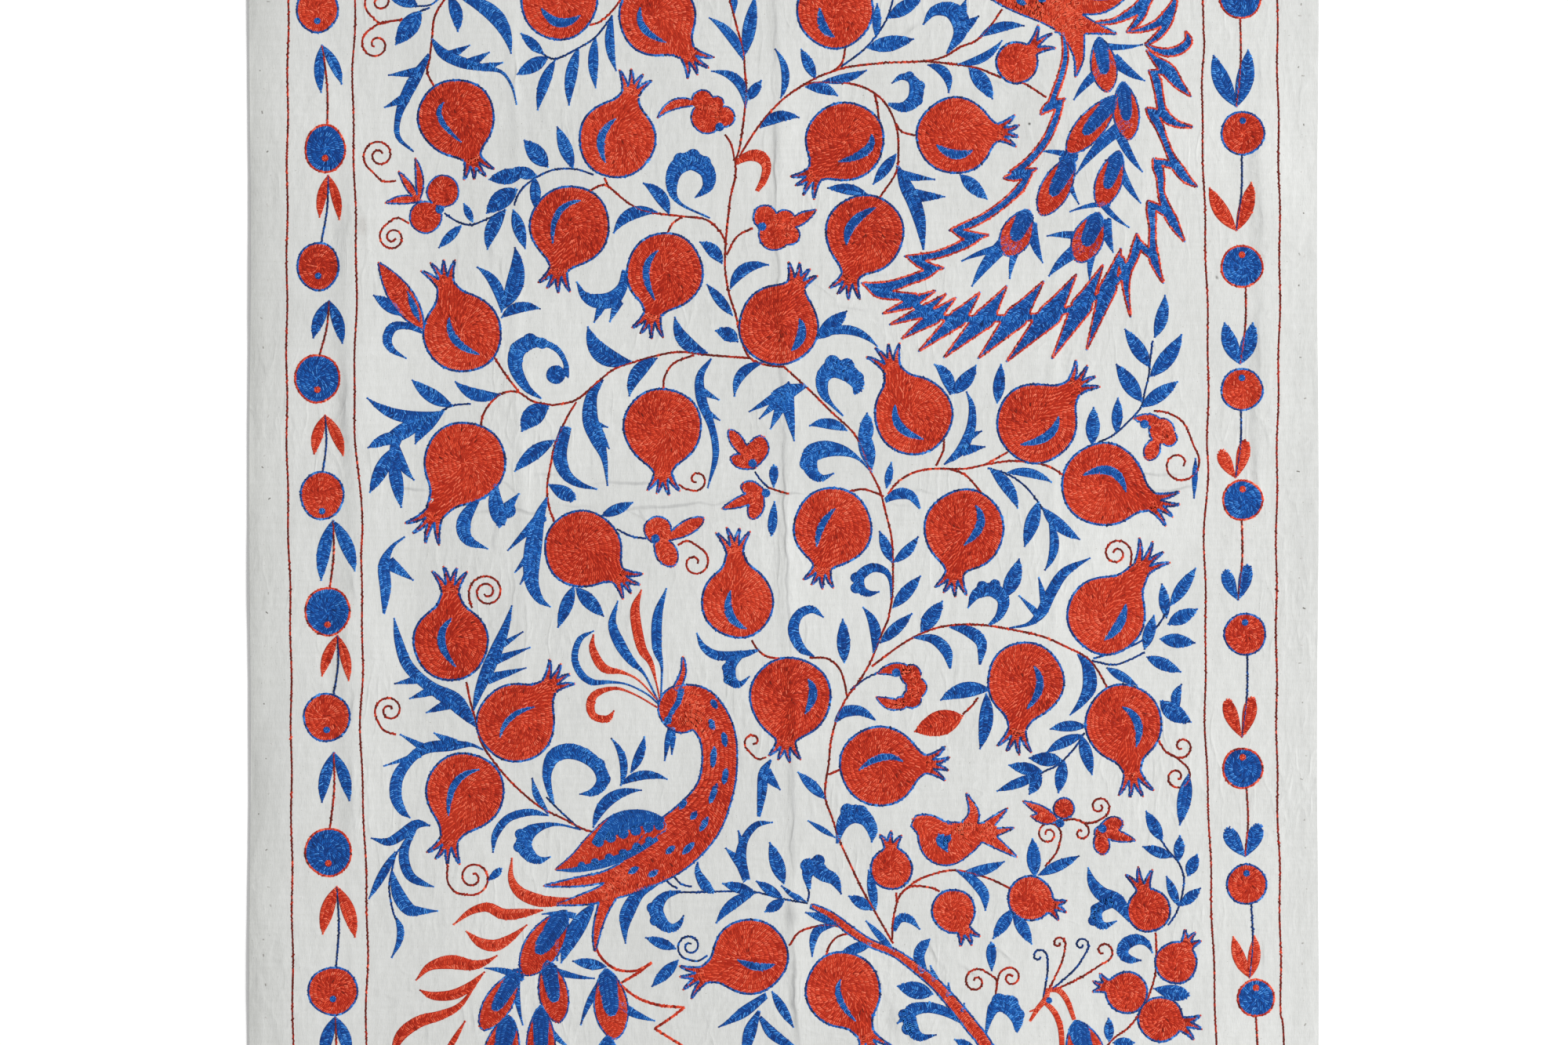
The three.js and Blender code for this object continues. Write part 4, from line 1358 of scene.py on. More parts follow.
# Eyes of the tail feathers: top u, v, bottom u, v, width
FEATHER_EYES = (
    (1402, 48, 1413, 117, 32), (1432, 105, 1440, 178, 32), (1424, 123, 1362, 195, 34),
    (1428, 193, 1403, 264, 32), (1368, 200, 1328, 274, 36), (1312, 268, 1283, 326, 38),
    (1402, 272, 1375, 334, 38), (722, 1162, 668, 1243, 44), (660, 1240, 615, 1313, 34),
    (650, 1296, 630, 1385, 44), (698, 1225, 713, 1304, 36), (773, 1236, 785, 1325, 42),
    (690, 1283, 690, 1380, 36), (775, 1322, 775, 1400, 36), (620, 1390, 575, 1455, 36),
    (690, 1398, 686, 1472, 38), (762, 1408, 780, 1478, 38), (838, 1345, 868, 1415, 36),
    (1372, 1302, 1395, 1375, 46),
)

# Barbs of the tail feathers: base u, v, tip u, v, width
FEATHER_BARBS = (
    (1415, 58, 1457, 57, 8), (1400, 95, 1370, 127, 12), (1428, 80, 1460, 103, 14),
    (1427, 168, 1373, 222, 16), (1433, 178, 1457, 219, 12), (1430, 215, 1455, 259, 12),
    (1365, 200, 1328, 193, 8), (1360, 212, 1376, 260, 10), (1405, 262, 1365, 270, 6),
    (1412, 265, 1440, 290, 7), (1280, 318, 1227, 333, 10), (1278, 318, 1240, 365, 18),
    (1298, 318, 1288, 355, 10), (1318, 295, 1330, 335, 14), (1372, 302, 1336, 301, 10),
    (1372, 322, 1338, 352, 16), (1412, 288, 1420, 322, 14), (1396, 318, 1390, 358, 10),
    (725, 1168, 692, 1166, 7), (715, 1185, 711, 1225, 8), (658, 1245, 619, 1235, 9),
    (661, 1250, 667, 1307, 9), (705, 1235, 758, 1248, 9), (763, 1263, 741, 1307, 9),
    (795, 1283, 835, 1302, 12), (700, 1310, 727, 1337, 9),
)

# Flames at the end of a tail, blue edged in red: upper tip u, v, waist u, v, lower tip u, v, width
TAIL_FLAMES = (
    (1193, 371, 1165, 385, 1126, 400, 14), (1207, 375, 1178, 397, 1135, 414, 15),
    (1219, 380, 1191, 404, 1150, 432, 18), (1250, 373, 1223, 405, 1172, 448, 21),
    (1284, 365, 1257, 405, 1204, 456, 25), (1331, 359, 1297, 404, 1248, 457, 27),
    (1373, 350, 1340, 401, 1284, 461, 28), (1407, 338, 1380, 390, 1342, 457, 25),
    (1430, 317, 1413, 368, 1386, 446, 21), (560, 1450, 545, 1495, 515, 1540, 26),
    (605, 1465, 592, 1510, 566, 1557, 27), (655, 1475, 645, 1520, 622, 1568, 27),
    (705, 1480, 698, 1525, 682, 1572, 27), (755, 1478, 752, 1523, 745, 1570, 27),
    (805, 1468, 807, 1512, 810, 1560, 27), (850, 1450, 857, 1495, 870, 1540, 26),
)

# Frame of the upper tail: u, v, width along each ribbon
TAIL_RIBBONS = (
    ((1356, 40, 4), (1359, 70, 7), (1354, 95, 8), (1347, 115, 8), (1340, 134, 8)),
    ((1327, 146, 1), (1335, 138, 10), (1345, 133, 11), (1359, 126, 1)),
    ((1353, 131, 7), (1345, 155, 9), (1335, 177, 9), (1321, 196, 9), (1306, 211, 9), (1290, 222, 8)),
    ((1280, 227, 1), (1290, 226, 9), (1303, 222, 12), (1323, 215, 1)),
    (
        (1314, 220, 7), (1301, 240, 10), (1288, 253, 9), (1272, 266, 9), (1252, 279, 9), (1232, 288, 9),
        (1211, 294, 1),
    ),
    ((1216, 293, 5), (1229, 299, 11), (1244, 301, 9), (1261, 300, 1)),
    ((1252, 301, 5), (1235, 309, 11), (1215, 318, 10), (1195, 325, 9), (1175, 328, 8), (1154, 327, 1)),
    ((1160, 328, 5), (1173, 335, 11), (1186, 341, 10), (1204, 342, 1)),
    ((1196, 342, 5), (1180, 350, 11), (1160, 357, 11), (1140, 364, 13), (1120, 367, 13), (1099, 361, 1)),
    ((1104, 364, 2), (1120, 373, 12), (1142, 377, 10), (1170, 379, 8)),
    ((1397, 30, 4), (1420, 27, 6), (1440, 18, 11), (1455, 8, 15), (1464, -6, 14), (1470, -30, 1)),
    ((1463, 0, 10), (1457, 18, 9), (1447, 32, 7), (1437, 41, 1)),
    ((1437, 41, 1), (1455, 38, 6), (1475, 31, 10), (1489, 20, 14), (1497, 5, 8), (1500, -8, 1)),
    ((1494, 20, 9), (1484, 38, 9), (1472, 50, 7), (1461, 57, 2)),
    ((1461, 56, 2), (1472, 63, 6), (1490, 67, 10), (1507, 62, 11), (1516, 52, 9), (1512, 40, 1)),
    ((1463, 64, 2), (1474, 76, 9), (1490, 90, 17), (1503, 107, 12), (1519, 123, 1)),
    ((1487, 90, 10), (1476, 92, 6), (1465, 90, 1)),
    (
        (1466, 90, 2), (1474, 100, 11), (1478, 118, 10), (1481, 136, 10), (1487, 149, 13), (1501, 158, 8),
        (1521, 162, 2),
    ),
    ((1485, 148, 8), (1472, 142, 7), (1462, 138, 1)),
    (
        (1462, 138, 1), (1469, 146, 11), (1477, 158, 11), (1485, 178, 8), (1494, 200, 9), (1502, 214, 13),
        (1514, 229, 10), (1527, 238, 1),
    ),
    ((1500, 212, 8), (1486, 208, 8), (1472, 203, 1)),
    (
        (1471, 202, 1), (1476, 212, 12), (1480, 226, 10), (1481, 245, 8), (1486, 262, 11),
        (1495, 281, 13), (1505, 299, 6), (1511, 308, 1),
    ),
    ((1487, 272, 8), (1475, 264, 8), (1464, 256, 1)),
    (
        (1464, 256, 1), (1468, 268, 11), (1470, 290, 8), (1470, 312, 9), (1472, 330, 12), (1477, 346, 7),
        (1484, 361, 1),
    ),
    ((1450, 306, 6), (1459, 317, 9), (1470, 327, 8)),
    (
        (1450, 298, 1), (1450, 312, 11), (1446, 328, 11), (1438, 345, 11), (1436, 362, 9), (1438, 382, 5),
        (1442, 404, 1),
    ),
    ((1429, 328, 8), (1433, 344, 9), (1437, 356, 8)),
    (
        (1150, 379, 8), (1178, 395, 8), (1200, 404, 7), (1223, 407, 7), (1257, 406, 8), (1297, 406, 8),
        (1340, 401, 8), (1380, 389, 7), (1413, 369, 6), (1433, 350, 8),
    ),
    ((515, 1500, 2), (592, 1514, 6), (700, 1528, 6), (807, 1514, 6), (884, 1490, 2)),
)

# Red feathers of the lower tail: u, v, width along each one
RED_FEATHERS = (
    ((653, 1095, 1), (652, 1120, 8), (663, 1138, 14), (685, 1148, 16), (705, 1150, 12), (745, 1148, 5)),
    ((579, 1179, 1), (600, 1163, 8), (622, 1157, 12), (642, 1166, 14), (665, 1165, 12), (692, 1161, 2)),
    ((595, 1188, 1), (612, 1202, 12), (632, 1206, 15), (652, 1196, 9), (672, 1180, 1)),
    ((531, 1250, 1), (548, 1233, 10), (575, 1227, 18), (602, 1231, 13), (620, 1227, 7), (634, 1219, 1)),
    ((536, 1263, 1), (552, 1270, 10), (577, 1269, 13), (598, 1259, 11), (618, 1240, 1)),
    ((500, 1345, 4), (512, 1320, 14), (535, 1303, 15), (562, 1295, 12), (586, 1283, 7), (606, 1258, 1)),
    ((593, 1303, 1), (583, 1320, 6), (568, 1345, 8)),
)

# Red lines beside the lower tail: points along each one
RED_ZIGZAGS = (
    ((760, 1196), (761, 1210), (770, 1225), (788, 1237), (812, 1238), (831, 1228)),
    ((831, 1228), (812, 1242), (790, 1255)),
    ((790, 1255), (812, 1272), (840, 1282), (873, 1285)),
    ((873, 1285), (856, 1298), (835, 1312)),
    ((835, 1312), (856, 1325), (880, 1340)),
)

# Crest of the lower peacock: thread, then u, v, width along each plume
CREST = (
    (
        "blue",
        (
            (757, 805, 1), (740, 815, 7), (733, 838, 8), (740, 858, 9), (755, 870, 8), (778, 870, 4),
            (800, 873, 2), (825, 885, 2), (840, 898, 2),
        ),
    ),
    ("red", ((757, 810, 1), (756, 828, 9), (770, 852, 11), (795, 858, 4), (815, 868, 2), (838, 892, 2))),
    (
        "red",
        (
            (783, 907, 1), (775, 917, 9), (758, 914, 9), (753, 900, 11), (760, 885, 9), (785, 878, 4),
            (810, 886, 2), (838, 902, 2),
        ),
    ),
    (
        "blue",
        ((788, 767, 1), (781, 795, 10), (790, 820, 14), (805, 843, 10), (822, 860, 3), (840, 895, 2)),
    ),
    ("red", ((818, 753, 1), (810, 780, 12), (818, 825, 12), (830, 845, 7), (837, 870, 2), (842, 893, 2))),
    (
        "blue",
        ((850, 751, 1), (839, 785, 12), (838, 825, 12), (844, 848, 4), (844, 870, 2), (843, 893, 2)),
    ),
)

# Spots of the peacock's neck and body: u, v, length, heading in degrees
PEACOCK_SPOTS = (
    (911, 898, 12, 60), (908, 924, 14, 70), (924, 943, 18, 80), (910, 966, 26, 95), (925, 990, 20, 100),
    (910, 1012, 26, 110), (871, 1026, 14, 125), (885, 1040, 12, 125), (898, 1051, 20, 120),
    (878, 1082, 20, 135), (855, 1084, 14, 140), (808, 1110, 14, 150), (833, 1114, 14, 150),
)

# Body and head of the lower peacock: u, v, width along each part
PEACOCK_BODY = (
    (868, 899, 52), (892, 904, 52), (913, 932, 46), (918, 970, 44), (911, 1010, 48), (887, 1050, 64),
    (848, 1085, 68), (805, 1118, 44), (768, 1142, 16),
)
PEACOCK_BROW = ((869, 878, 7), (866, 894, 6), (857, 908, 5), (850, 924, 3))
PEACOCK_HORN = ((862, 880, 9), (868, 868, 8), (872, 855, 6), (871, 838, 2))
PEACOCK_BEAK = (
    ((857, 928, 9), (852, 945, 8), (848, 970, 1)),
    ((857, 930, 9), (858, 945, 7), (857, 962, 1)),
)
PEACOCK_HEAD = (870, 904)
PEACOCK_EYE = (852, 919)

# Wing: red, with two rows of blue feathers that end in lobes (u, v, radius)
WING = (
    (849, 1056, 8), (832, 1054, 34), (797, 1062, 52), (764, 1082, 42), (737, 1098, 22), (709, 1109, 1),
)
WING_UPPER = ((846, 1047, 8), (822, 1043, 20), (794, 1048, 26), (772, 1062, 18), (757, 1076, 6))
WING_LOWER = ((838, 1070, 6), (808, 1087, 9), (772, 1101, 11), (736, 1109, 7), (711, 1110, 1))
WING_LOBES = (
    (764, 1074, 6.5), (779, 1068, 7), (795, 1063, 7), (811, 1059, 7), (827, 1055, 7), (841, 1053, 6),
    (828, 1072, 5), (812, 1080, 5.5), (795, 1088, 5.5), (777, 1094, 5.5), (759, 1100, 5.5),
    (742, 1104, 5),
)

# The upper bird is the lower one turned over this line and moved up the cloth.
MIRROR_U = 2135
MIRROR_V = 1112

# Lower ends of the two peacocks: u, v, width along each part
LOWER_BODY = (
    ((778, 1140, 20), (770, 1158, 15), (763, 1180, 11), (760, 1198, 7), (759, 1213, 1)),
    ((800, 1110, 24), (770, 1119, 14), (735, 1125, 11), (694, 1130, 1)),
    ((800, 1124, 30), (770, 1139, 20), (745, 1147, 14), (709, 1154, 1)),
)
UPPER_BODY = (
    (
        (1290, -30, 60), (1325, -12, 68), (1350, 10, 56), (1365, 32, 36), (1373, 56, 20), (1376, 76, 11),
        (1372, 98, 1),
    ),
    ((1350, -5, 40), (1380, 4, 28), (1405, 3, 26), (1430, -10, 18), (1455, -35, 2)),
    ((1352, 22, 40), (1378, 31, 24), (1400, 37, 12), (1424, 43, 1)),
)

# Trunk, red edged in blue: u, v, width along it; its thorns: base u, base v, tip u, tip v, width
TRUNK = (
    (1035, 1155, 5), (1060, 1168, 9), (1085, 1187, 10), (1110, 1203, 9), (1140, 1215, 9),
    (1165, 1232, 11), (1195, 1257, 13), (1220, 1285, 15), (1240, 1310, 16), (1257, 1333, 16),
    (1290, 1400, 20), (1318, 1470, 24), (1338, 1540, 28), (1350, 1612, 34),
)
TRUNK_THORNS = ((1193, 1250, 1187, 1232, 10), (1210, 1270, 1210, 1254, 9), (1227, 1290, 1230, 1280, 6))

# Small bird: u, v, width along its body and wing; tail and heart as base u, v, tip u, v, width
BIRD_BODY = (
    (1165, 1047, 14), (1182, 1055, 34), (1203, 1075, 56), (1228, 1070, 44), (1250, 1062, 24),
    (1270, 1062, 16),
)
BIRD_WING = ((1225, 1065, 20), (1242, 1040, 14), (1233, 1012, 1))
BIRD_TAIL = ((1250, 1062, 1285, 1031, 17), (1256, 1065, 1293, 1056, 14), (1254, 1064, 1297, 1093, 19))
BIRD_HEART = ((1208, 1086, 1197, 1064, 15), (1203, 1079, 1212, 1065, 9))

# Border lines: u, v along each one
BORDER_LINES = (
    (
        (370, -458), (368, 0), (367, 150), (366, 450), (367, 620), (371, 800), (372, 1020), (374, 1333),
        (374, 1720),
    ),
    (
        (455, -372), (453, 0), (450, 110), (454, 290), (455, 370), (452, 520), (457, 600), (463, 670),
        (461, 720), (463, 840), (460, 930), (465, 1060), (469, 1200), (467, 1333), (470, 1632),
    ),
    (
        (1536, -372), (1534, 0), (1536, 60), (1533, 130), (1537, 290), (1541, 450), (1540, 560),
        (1541, 600), (1536, 680), (1538, 800), (1537, 920), (1543, 1070), (1546, 1180), (1551, 1333),
        (1552, 1632),
    ),
    (
        (1630, -458), (1629, 0), (1630, 130), (1632, 290), (1632, 400), (1630, 500), (1628, 680),
        (1628, 840), (1629, 1000), (1632, 1115), (1634, 1290), (1637, 1333), (1638, 1720),
    ),
    ((370, -458), (700, -461), (1000, -457), (1300, -460), (1630, -458)),
    ((455, -372), (760, -375), (1000, -371), (1280, -374), (1536, -372)),
    ((374, 1720), (700, 1723), (1000, 1718), (1320, 1722), (1638, 1720)),
    ((470, 1632), (760, 1635), (1010, 1630), (1290, 1634), (1552, 1632)),
)

# Border beads: thread, u, v, half width, half height, spot's offset
BEADS = (
    ("red", 405, 13, 26, 28, 14), ("blue", 415, 190, 25, 30, 12), ("red", 406, 340, 26, 30, 12),
    ("blue", 405, 483, 28, 30, 14), ("red", 411, 632, 27, 30, 20), ("blue", 418, 780, 28, 30, 17),
    ("red", 417, 915, 29, 30, 16), ("blue", 419, 1087, 29, 30, 14), ("red", 425, 1264, 31, 30, 10),
    ("blue", 408, -140, 27, 29, 13), ("red", 409, -290, 27, 29, 13), ("blue", 425, 1412, 29, 30, 13),
    ("red", 424, 1562, 29, 30, 13), ("red", 1582, -160, 26, 26, -15), ("blue", 1583, -310, 26, 26, -15),
    ("red", 1602, 1425, 25, 25, -14), ("blue", 1603, 1570, 25, 25, -14), ("blue", 1582, -3, 26, 26, -15),
    ("red", 1585, 170, 27, 27, -16), ("blue", 1584, 340, 26, 26, -15), ("red", 1584, 497, 26, 26, -15),
    ("blue", 1585, 638, 25, 25, -14), ("red", 1588, 809, 26, 26, -15), ("blue", 1585, 980, 25, 25, -14),
    ("red", 1590, 1128, 25, 25, -14), ("blue", 1602, 1273, 23, 23, -13),
)

# Border leaf pairs: thread, apex u, v, the two tips u, v, end of the stem u, v, width, kind of tip
LEAF_PAIRS = (
    ("blue", 411, 58, 410, 118, 436, 107, 418, 160, 13, "pointed"),
    ("red", 419, 224, 408, 277, 433, 280, 410, 310, 12, "pointed"),
    ("blue", 420, 384, 400, 431, 437, 438, 408, 453, 15, "pointed"),
    ("red", 415, 530, 401, 579, 438, 581, 412, 602, 14, "pointed"),
    ("blue", 425, 664, 410, 740, 453, 728, 421, 750, 17, "pointed"),
    ("red", 431, 811, 411, 862, 445, 868, 426, 885, 13, "pointed"),
    ("blue", 426, 960, 411, 1023, 446, 1021, 421, 1057, 15, "pointed"),
    ("red", 430, 1131, 412, 1191, 453, 1195, 429, 1234, 17, "pointed"),
    ("blue", 428, 1297, 412, 1352, 446, 1350, 424, 1385, 16, "pointed"),
    ("blue", 1577, 136, 1548, 71, 1592, 64, 1582, 23, 22, "pointed"),
    ("red", 1577, 294, 1543, 240, 1596, 233, 1584, 197, 19, "pointed"),
    ("blue", 1582, 464, 1562, 412, 1598, 412, 1589, 366, 20, "pointed"),
    ("red", 1576, 609, 1557, 574, 1588, 561, 1583, 523, 17, "round"),
    ("blue", 1579, 765, 1563, 727, 1591, 720, 1584, 663, 17, "round"),
    ("red", 1584, 940, 1565, 892, 1596, 889, 1591, 835, 18, "round"),
    ("blue", 1588, 1092, 1565, 1056, 1605, 1051, 1590, 1005, 20, "round"),
    ("red", 1594, 1247, 1573, 1195, 1600, 1194, 1596, 1153, 16, "pointed"),
    ("red", 408, -105, 396, -52, 424, -52, 406, -16, 14, "pointed"),
    ("blue", 410, -255, 398, -202, 426, -202, 409, -170, 14, "pointed"),
    ("red", 411, -380, 400, -335, 424, -335, 410, -320, 14, "pointed"),
    ("red", 426, 1446, 411, 1498, 442, 1498, 424, 1532, 15, "pointed"),
    ("blue", 424, 1596, 411, 1630, 440, 1630, 423, 1647, 15, "pointed"),
    ("red", 1581, -30, 1560, -82, 1598, -82, 1582, -134, 17, "pointed"),
    ("blue", 1582, -188, 1562, -237, 1600, -237, 1583, -284, 17, "pointed"),
    ("red", 1583, -338, 1566, -370, 1600, -370, 1583, -388, 17, "pointed"),
    ("blue", 1600, 1398, 1580, 1348, 1616, 1348, 1602, 1297, 17, "pointed"),
    ("red", 1602, 1543, 1583, 1494, 1618, 1494, 1602, 1450, 17, "pointed"),
    ("blue", 1602, 1648, 1586, 1614, 1617, 1614, 1603, 1595, 17, "pointed"),
)

# Borders of the two ends: v of the beads' row, u of the first and last bead
END_BORDERS = ((-416, 412, 1583), (1676, 422, 1598))

# Sewing the design


def pomegranate(u, v, radius, crown_u, crown_v):
    """A round fruit with a slim neck, a crown of sepals and often a blue crescent."""
    reach = np.hypot(crown_u - u, crown_v - v)
    angle = np.arctan2(crown_v - v, crown_u - u)
    if radius < SMALL_FRUIT:
        neck = SMALL_NECK_OF_RADIUS * radius
        sepal = reach - SMALL_CROWN_OF_RADIUS * radius
        root_width = SMALL_SEPAL_OF_RADIUS * radius
        chart = SMALL_SEPALS
    else:
        neck = NECK_OF_REACH * reach
        sepal = SEPAL_OF_REACH * reach
        root_width = SEPAL_OF_RADIUS * radius + SEPAL_ROOT
        chart = SEPALS
    body = Round(u, v, radius, neck / radius - 1, angle)
    out = np.array([np.cos(angle), np.sin(angle)])
    aside = np.array([-out[1], out[0]])
    middle = np.array([u, v])
    sepals = []
    for place, spread, share in chart:
        root = middle + out * (reach - sepal) + aside * place * SEPAL_SPACING * radius
        tip = root + (out + aside * spread) / np.hypot(1, spread) * sepal * share
        sepals.append(blade(*root, *tip, root_width, -SEPAL_BOW * np.sign(spread), thorn_profile))
    inlay = [crescent(*row) for row in CRESCENTS if np.hypot(row[2] - u, row[3] - v) < radius]
    fill(body, "red", leave=inlay)
    for part in sepals:
        fill(part, "red", SEPAL_TONE)
    for part in inlay:
        inlaid(part, "blue", INLAY_TONE)
    outline([body, *sepals], "blue", FRUIT_EDGE, FRUIT_EDGE_TONE)


def bud(lobes, petals, calyx):
    shapes = [Round(*lobe) for lobe in lobes]
    for petal in petals:
        shapes.append(blade(*petal, petal_profile if petal[4] > WIDE_PETAL else leaf_profile))
    spot = Round(*calyx, CALYX_SIZE)
    for shape in shapes:
        fill(shape, "red", leave=[spot])
    fill(spot, "blue", CALYX_TONE, level=1)
    outline(shapes, "blue", BUD_EDGE)


def feather_eye(top_u, top_v, bottom_u, bottom_v, width):
    drop = blade(top_u, top_v, bottom_u, bottom_v, width, profile=drop_profile)
    inner = blade(top_u, top_v, bottom_u, bottom_v, width, profile=eye_profile)
    inner.spine = inner.spine[:EYE_POINTS]
    fill(drop, "red", leave=[inner], level=1)
    inlaid(inner, "blue", level=2)
    outline([drop], "blue", FEATHER_EDGE)


def feather_barb(base_u, base_v, tip_u, tip_v, width):
    """A thorn whose root is hidden under its feather."""
    root_u = base_u - BARB_ROOT * (tip_u - base_u)
    root_v = base_v - BARB_ROOT * (tip_v - base_v)
    fill(blade(root_u, root_v, tip_u, tip_v, width + BARB_GROWTH, BARB_BOW, barb_profile), "blue")


def bead(thread, u, v, half_width, half_height, spot_offset):
    ball = Round(u, v, half_width, squash=half_height / half_width)
    spot = Round(u, v + spot_offset, BEAD_SPOT)
    fill(ball, thread, leave=[spot])
    fill(spot, other_thread(thread), SPOT_TONE, level=1)
    outline([ball], other_thread(thread), BEAD_EDGE)


def leaf_pair(thread, apex_u, apex_v, first_u, first_v, second_u, second_v, end_u, end_v, width, tip):
    """Two leaves from one point, with the stem between them in the other thread."""
    profile = round_profile if tip == "round" else pair_profile
    turn = (first_u - apex_u) * (second_v - apex_v) - (first_v - apex_v) * (second_u - apex_u)
    bow = -PAIR_BOW * np.sign(turn)
    fill(blade(apex_u, apex_v, first_u, first_v, width, bow, profile), thread)
    fill(blade(apex_u, apex_v, second_u, second_v, width, -bow, profile), thread)
    middle = ((apex_u + end_u) / 2 + PAIR_STEM_BOW, (apex_v + end_v) / 2)
    path = smooth(((apex_u, apex_v), middle, (end_u, end_v)))
    chain(path, other_thread(thread), PAIR_STEM_WIDTH, STEM_TONE, EDGE_RISE)


def peacock_spots(place):
    """The blue spots of the neck and body, the brow and the eye."""
    spots = []
    for u, v, length, heading in PEACOCK_SPOTS:
        turn = np.radians(heading)
        reach_u, reach_v = np.cos(turn) * length / 2, np.sin(turn) * length / 2
        start, end = place(((u - reach_u, v - reach_v), (u + reach_u, v + reach_v)))
        spots.append(blade(*start, *end, PEACOCK_SPOT_WIDTH, profile=oval_profile))
    spots.append(ribbon(place(PEACOCK_BROW)))
    spots += [Round(*point, PEACOCK_EYE_SIZE) for point in place((PEACOCK_EYE,))]
    return spots


def peacock(place, lower_end):
    """The bird's body, wing, head and crest; place moves charted points over the cloth."""
    body = [ribbon(points) for points in (place(PEACOCK_BODY), *lower_end)]
    body += [Round(*point, PEACOCK_HEAD_SIZE) for point in place((PEACOCK_HEAD,))]
    spots = peacock_spots(place)
    wing = ribbon(place(WING))
    feathers = [ribbon(place(WING_UPPER)), ribbon(place(WING_LOWER))]
    feathers += [Round(*lobe) for lobe in place(WING_LOBES)]
    for part in body:
        fill(part, "red", leave=[*spots, wing])
    fill(wing, "red", WING_TONE, feathers, 1)
    for part in spots:
        inlaid(part, "blue", INLAY_TONE)
    for part in feathers:
        fill(part, "blue", WING_FEATHER_TONE, level=2)
    outline(body, "blue", PEACOCK_EDGE)
    outline([wing], "blue", WING_EDGE)
    for beak in PEACOCK_BEAK:
        fill(ribbon(place(beak)), "blue")
    sewn([ribbon(place(PEACOCK_HORN))], "red")
    for thread, plume in CREST:
        fill(ribbon(place(plume)), thread)


def as_charted(points):
    return points


def mirrored(points):
    """The upper bird faces the other way."""
    return tuple((MIRROR_U - u, v - MIRROR_V, *rest) for u, v, *rest in points)


def small_bird():
    heart = [blade(*row, profile=petal_profile) for row in BIRD_HEART]
    bird = [ribbon(BIRD_BODY), ribbon(BIRD_WING)]
    bird += [blade(*row, profile=thorn_profile) for row in BIRD_TAIL]
    for part in bird:
        fill(part, "red", leave=heart)
    for part in heart:
        fill(part, "blue", INLAY_TONE, level=1)
    outline(bird, "blue", BIRD_EDGE)


def striped_leaf():
    stripe = blade(*LEAF_STRIPE)
    leaf = blade(*STRIPED_LEAF)
    fill(leaf, "red", leave=[stripe])
    fill(stripe, "blue", INLAY_TONE, level=1)
    outline([leaf], "blue", STRIPED_EDGE)


def sew_lines():
    for points in RED_STEMS:
        chain(smooth(points), "red", RED_STEM_WIDTH, STEM_TONE)
    for points in BLUE_STEMS:
        chain(smooth(points), "blue", BLUE_STEM_WIDTH, STEM_TONE)
    for points in RED_ZIGZAGS:
        chain(smooth(points), "red", ZIGZAG_WIDTH, ZIGZAG_TONE)
    for row in TENDRILS:
        tendril(*row)


def thorns(rows):
    for row in rows:
        fill(blade(*row, profile=thorn_profile), "blue")


def sew_vine():
    sew_lines()
    for row in (*BLUE_LEAVES, *END_LEAVES):
        fill(blade(*row), "blue")
    for row in ROUND_LEAVES:
        fill(blade(*row, profile=petal_profile), "blue")
    for points in BLUE_SCROLLS:
        fill(ribbon(points), "blue")
    for points in RED_SCROLLS:
        fill(ribbon(points), "red")
    for row in BLUE_LOBES:
        fill(Round(*row), "blue")
    thorns(BLUE_THORNS)
    for spine, barbs in BARBED_LEAVES:
        fill(ribbon(spine), "blue")
        thorns(barbs)
    for row in POMEGRANATES:
        pomegranate(*row)
    for row in BUDS:
        bud(*row)


def sew_birds():
    for row in FEATHER_BARBS:
        feather_barb(*row)
    for row in FEATHER_EYES:
        feather_eye(*row)
    tail_frame = [flame(*row) for row in TAIL_FLAMES]
    tail_frame += [ribbon(points) for points in TAIL_RIBBONS]
    sewn(tail_frame, "blue")
    for points in RED_FEATHERS:
        fill(ribbon(points), "red")
    peacock(as_charted, LOWER_BODY)
    peacock(mirrored, UPPER_BODY)
    sewn([ribbon(TRUNK)], "red")
    thorns(TRUNK_THORNS)
    small_bird()
    fill(Round(*SCROLL_SPOT), "blue", SPOT_TONE, level=1)
    fill(blade(*RED_LEAF), "red")
    striped_leaf()


def border_line(points):
    """A line that wavers a little, as one drawn by hand."""
    path = respace(smooth(points), BORDER_STEP)
    along = np.sin(path[:, 1] / BORDER_WAVER_ALONG)
    across = np.sin(path[:, 0] / BORDER_WAVER_ACROSS)
    path += BORDER_WAVER * np.column_stack([along, across])
    chain(path, "red", BORDER_WIDTH, BORDER_TONE)


def end_border(v, first_u, last_u):
    """A row of beads across one end, with a leaf pair before each bead but the first."""
    places = np.linspace(first_u, last_u, END_BEAD_COUNT)
    for index, u in enumerate(places):
        thread = "blue" if index % 2 == 0 else "red"
        bead(thread, u, v, END_BEAD_SIZE, END_BEAD_SIZE, END_BEAD_SPOT)
        if index:
            start = places[index - 1] + END_PAIR_GAP
            tip = start + END_PAIR_LENGTH
            tips = (tip, v - END_PAIR_SPREAD, tip, v + END_PAIR_SPREAD)
            leaf_pair(thread, start, v, *tips, u - END_BEAD_SIZE, v, END_PAIR_WIDTH, "pointed")


def sew_border():
    for points in BORDER_LINES:
        border_line(points)
    for row in LEAF_PAIRS:
        leaf_pair(*row)
    for row in BEADS:
        bead(*row)
    for row in END_BORDERS:
        end_border(*row)


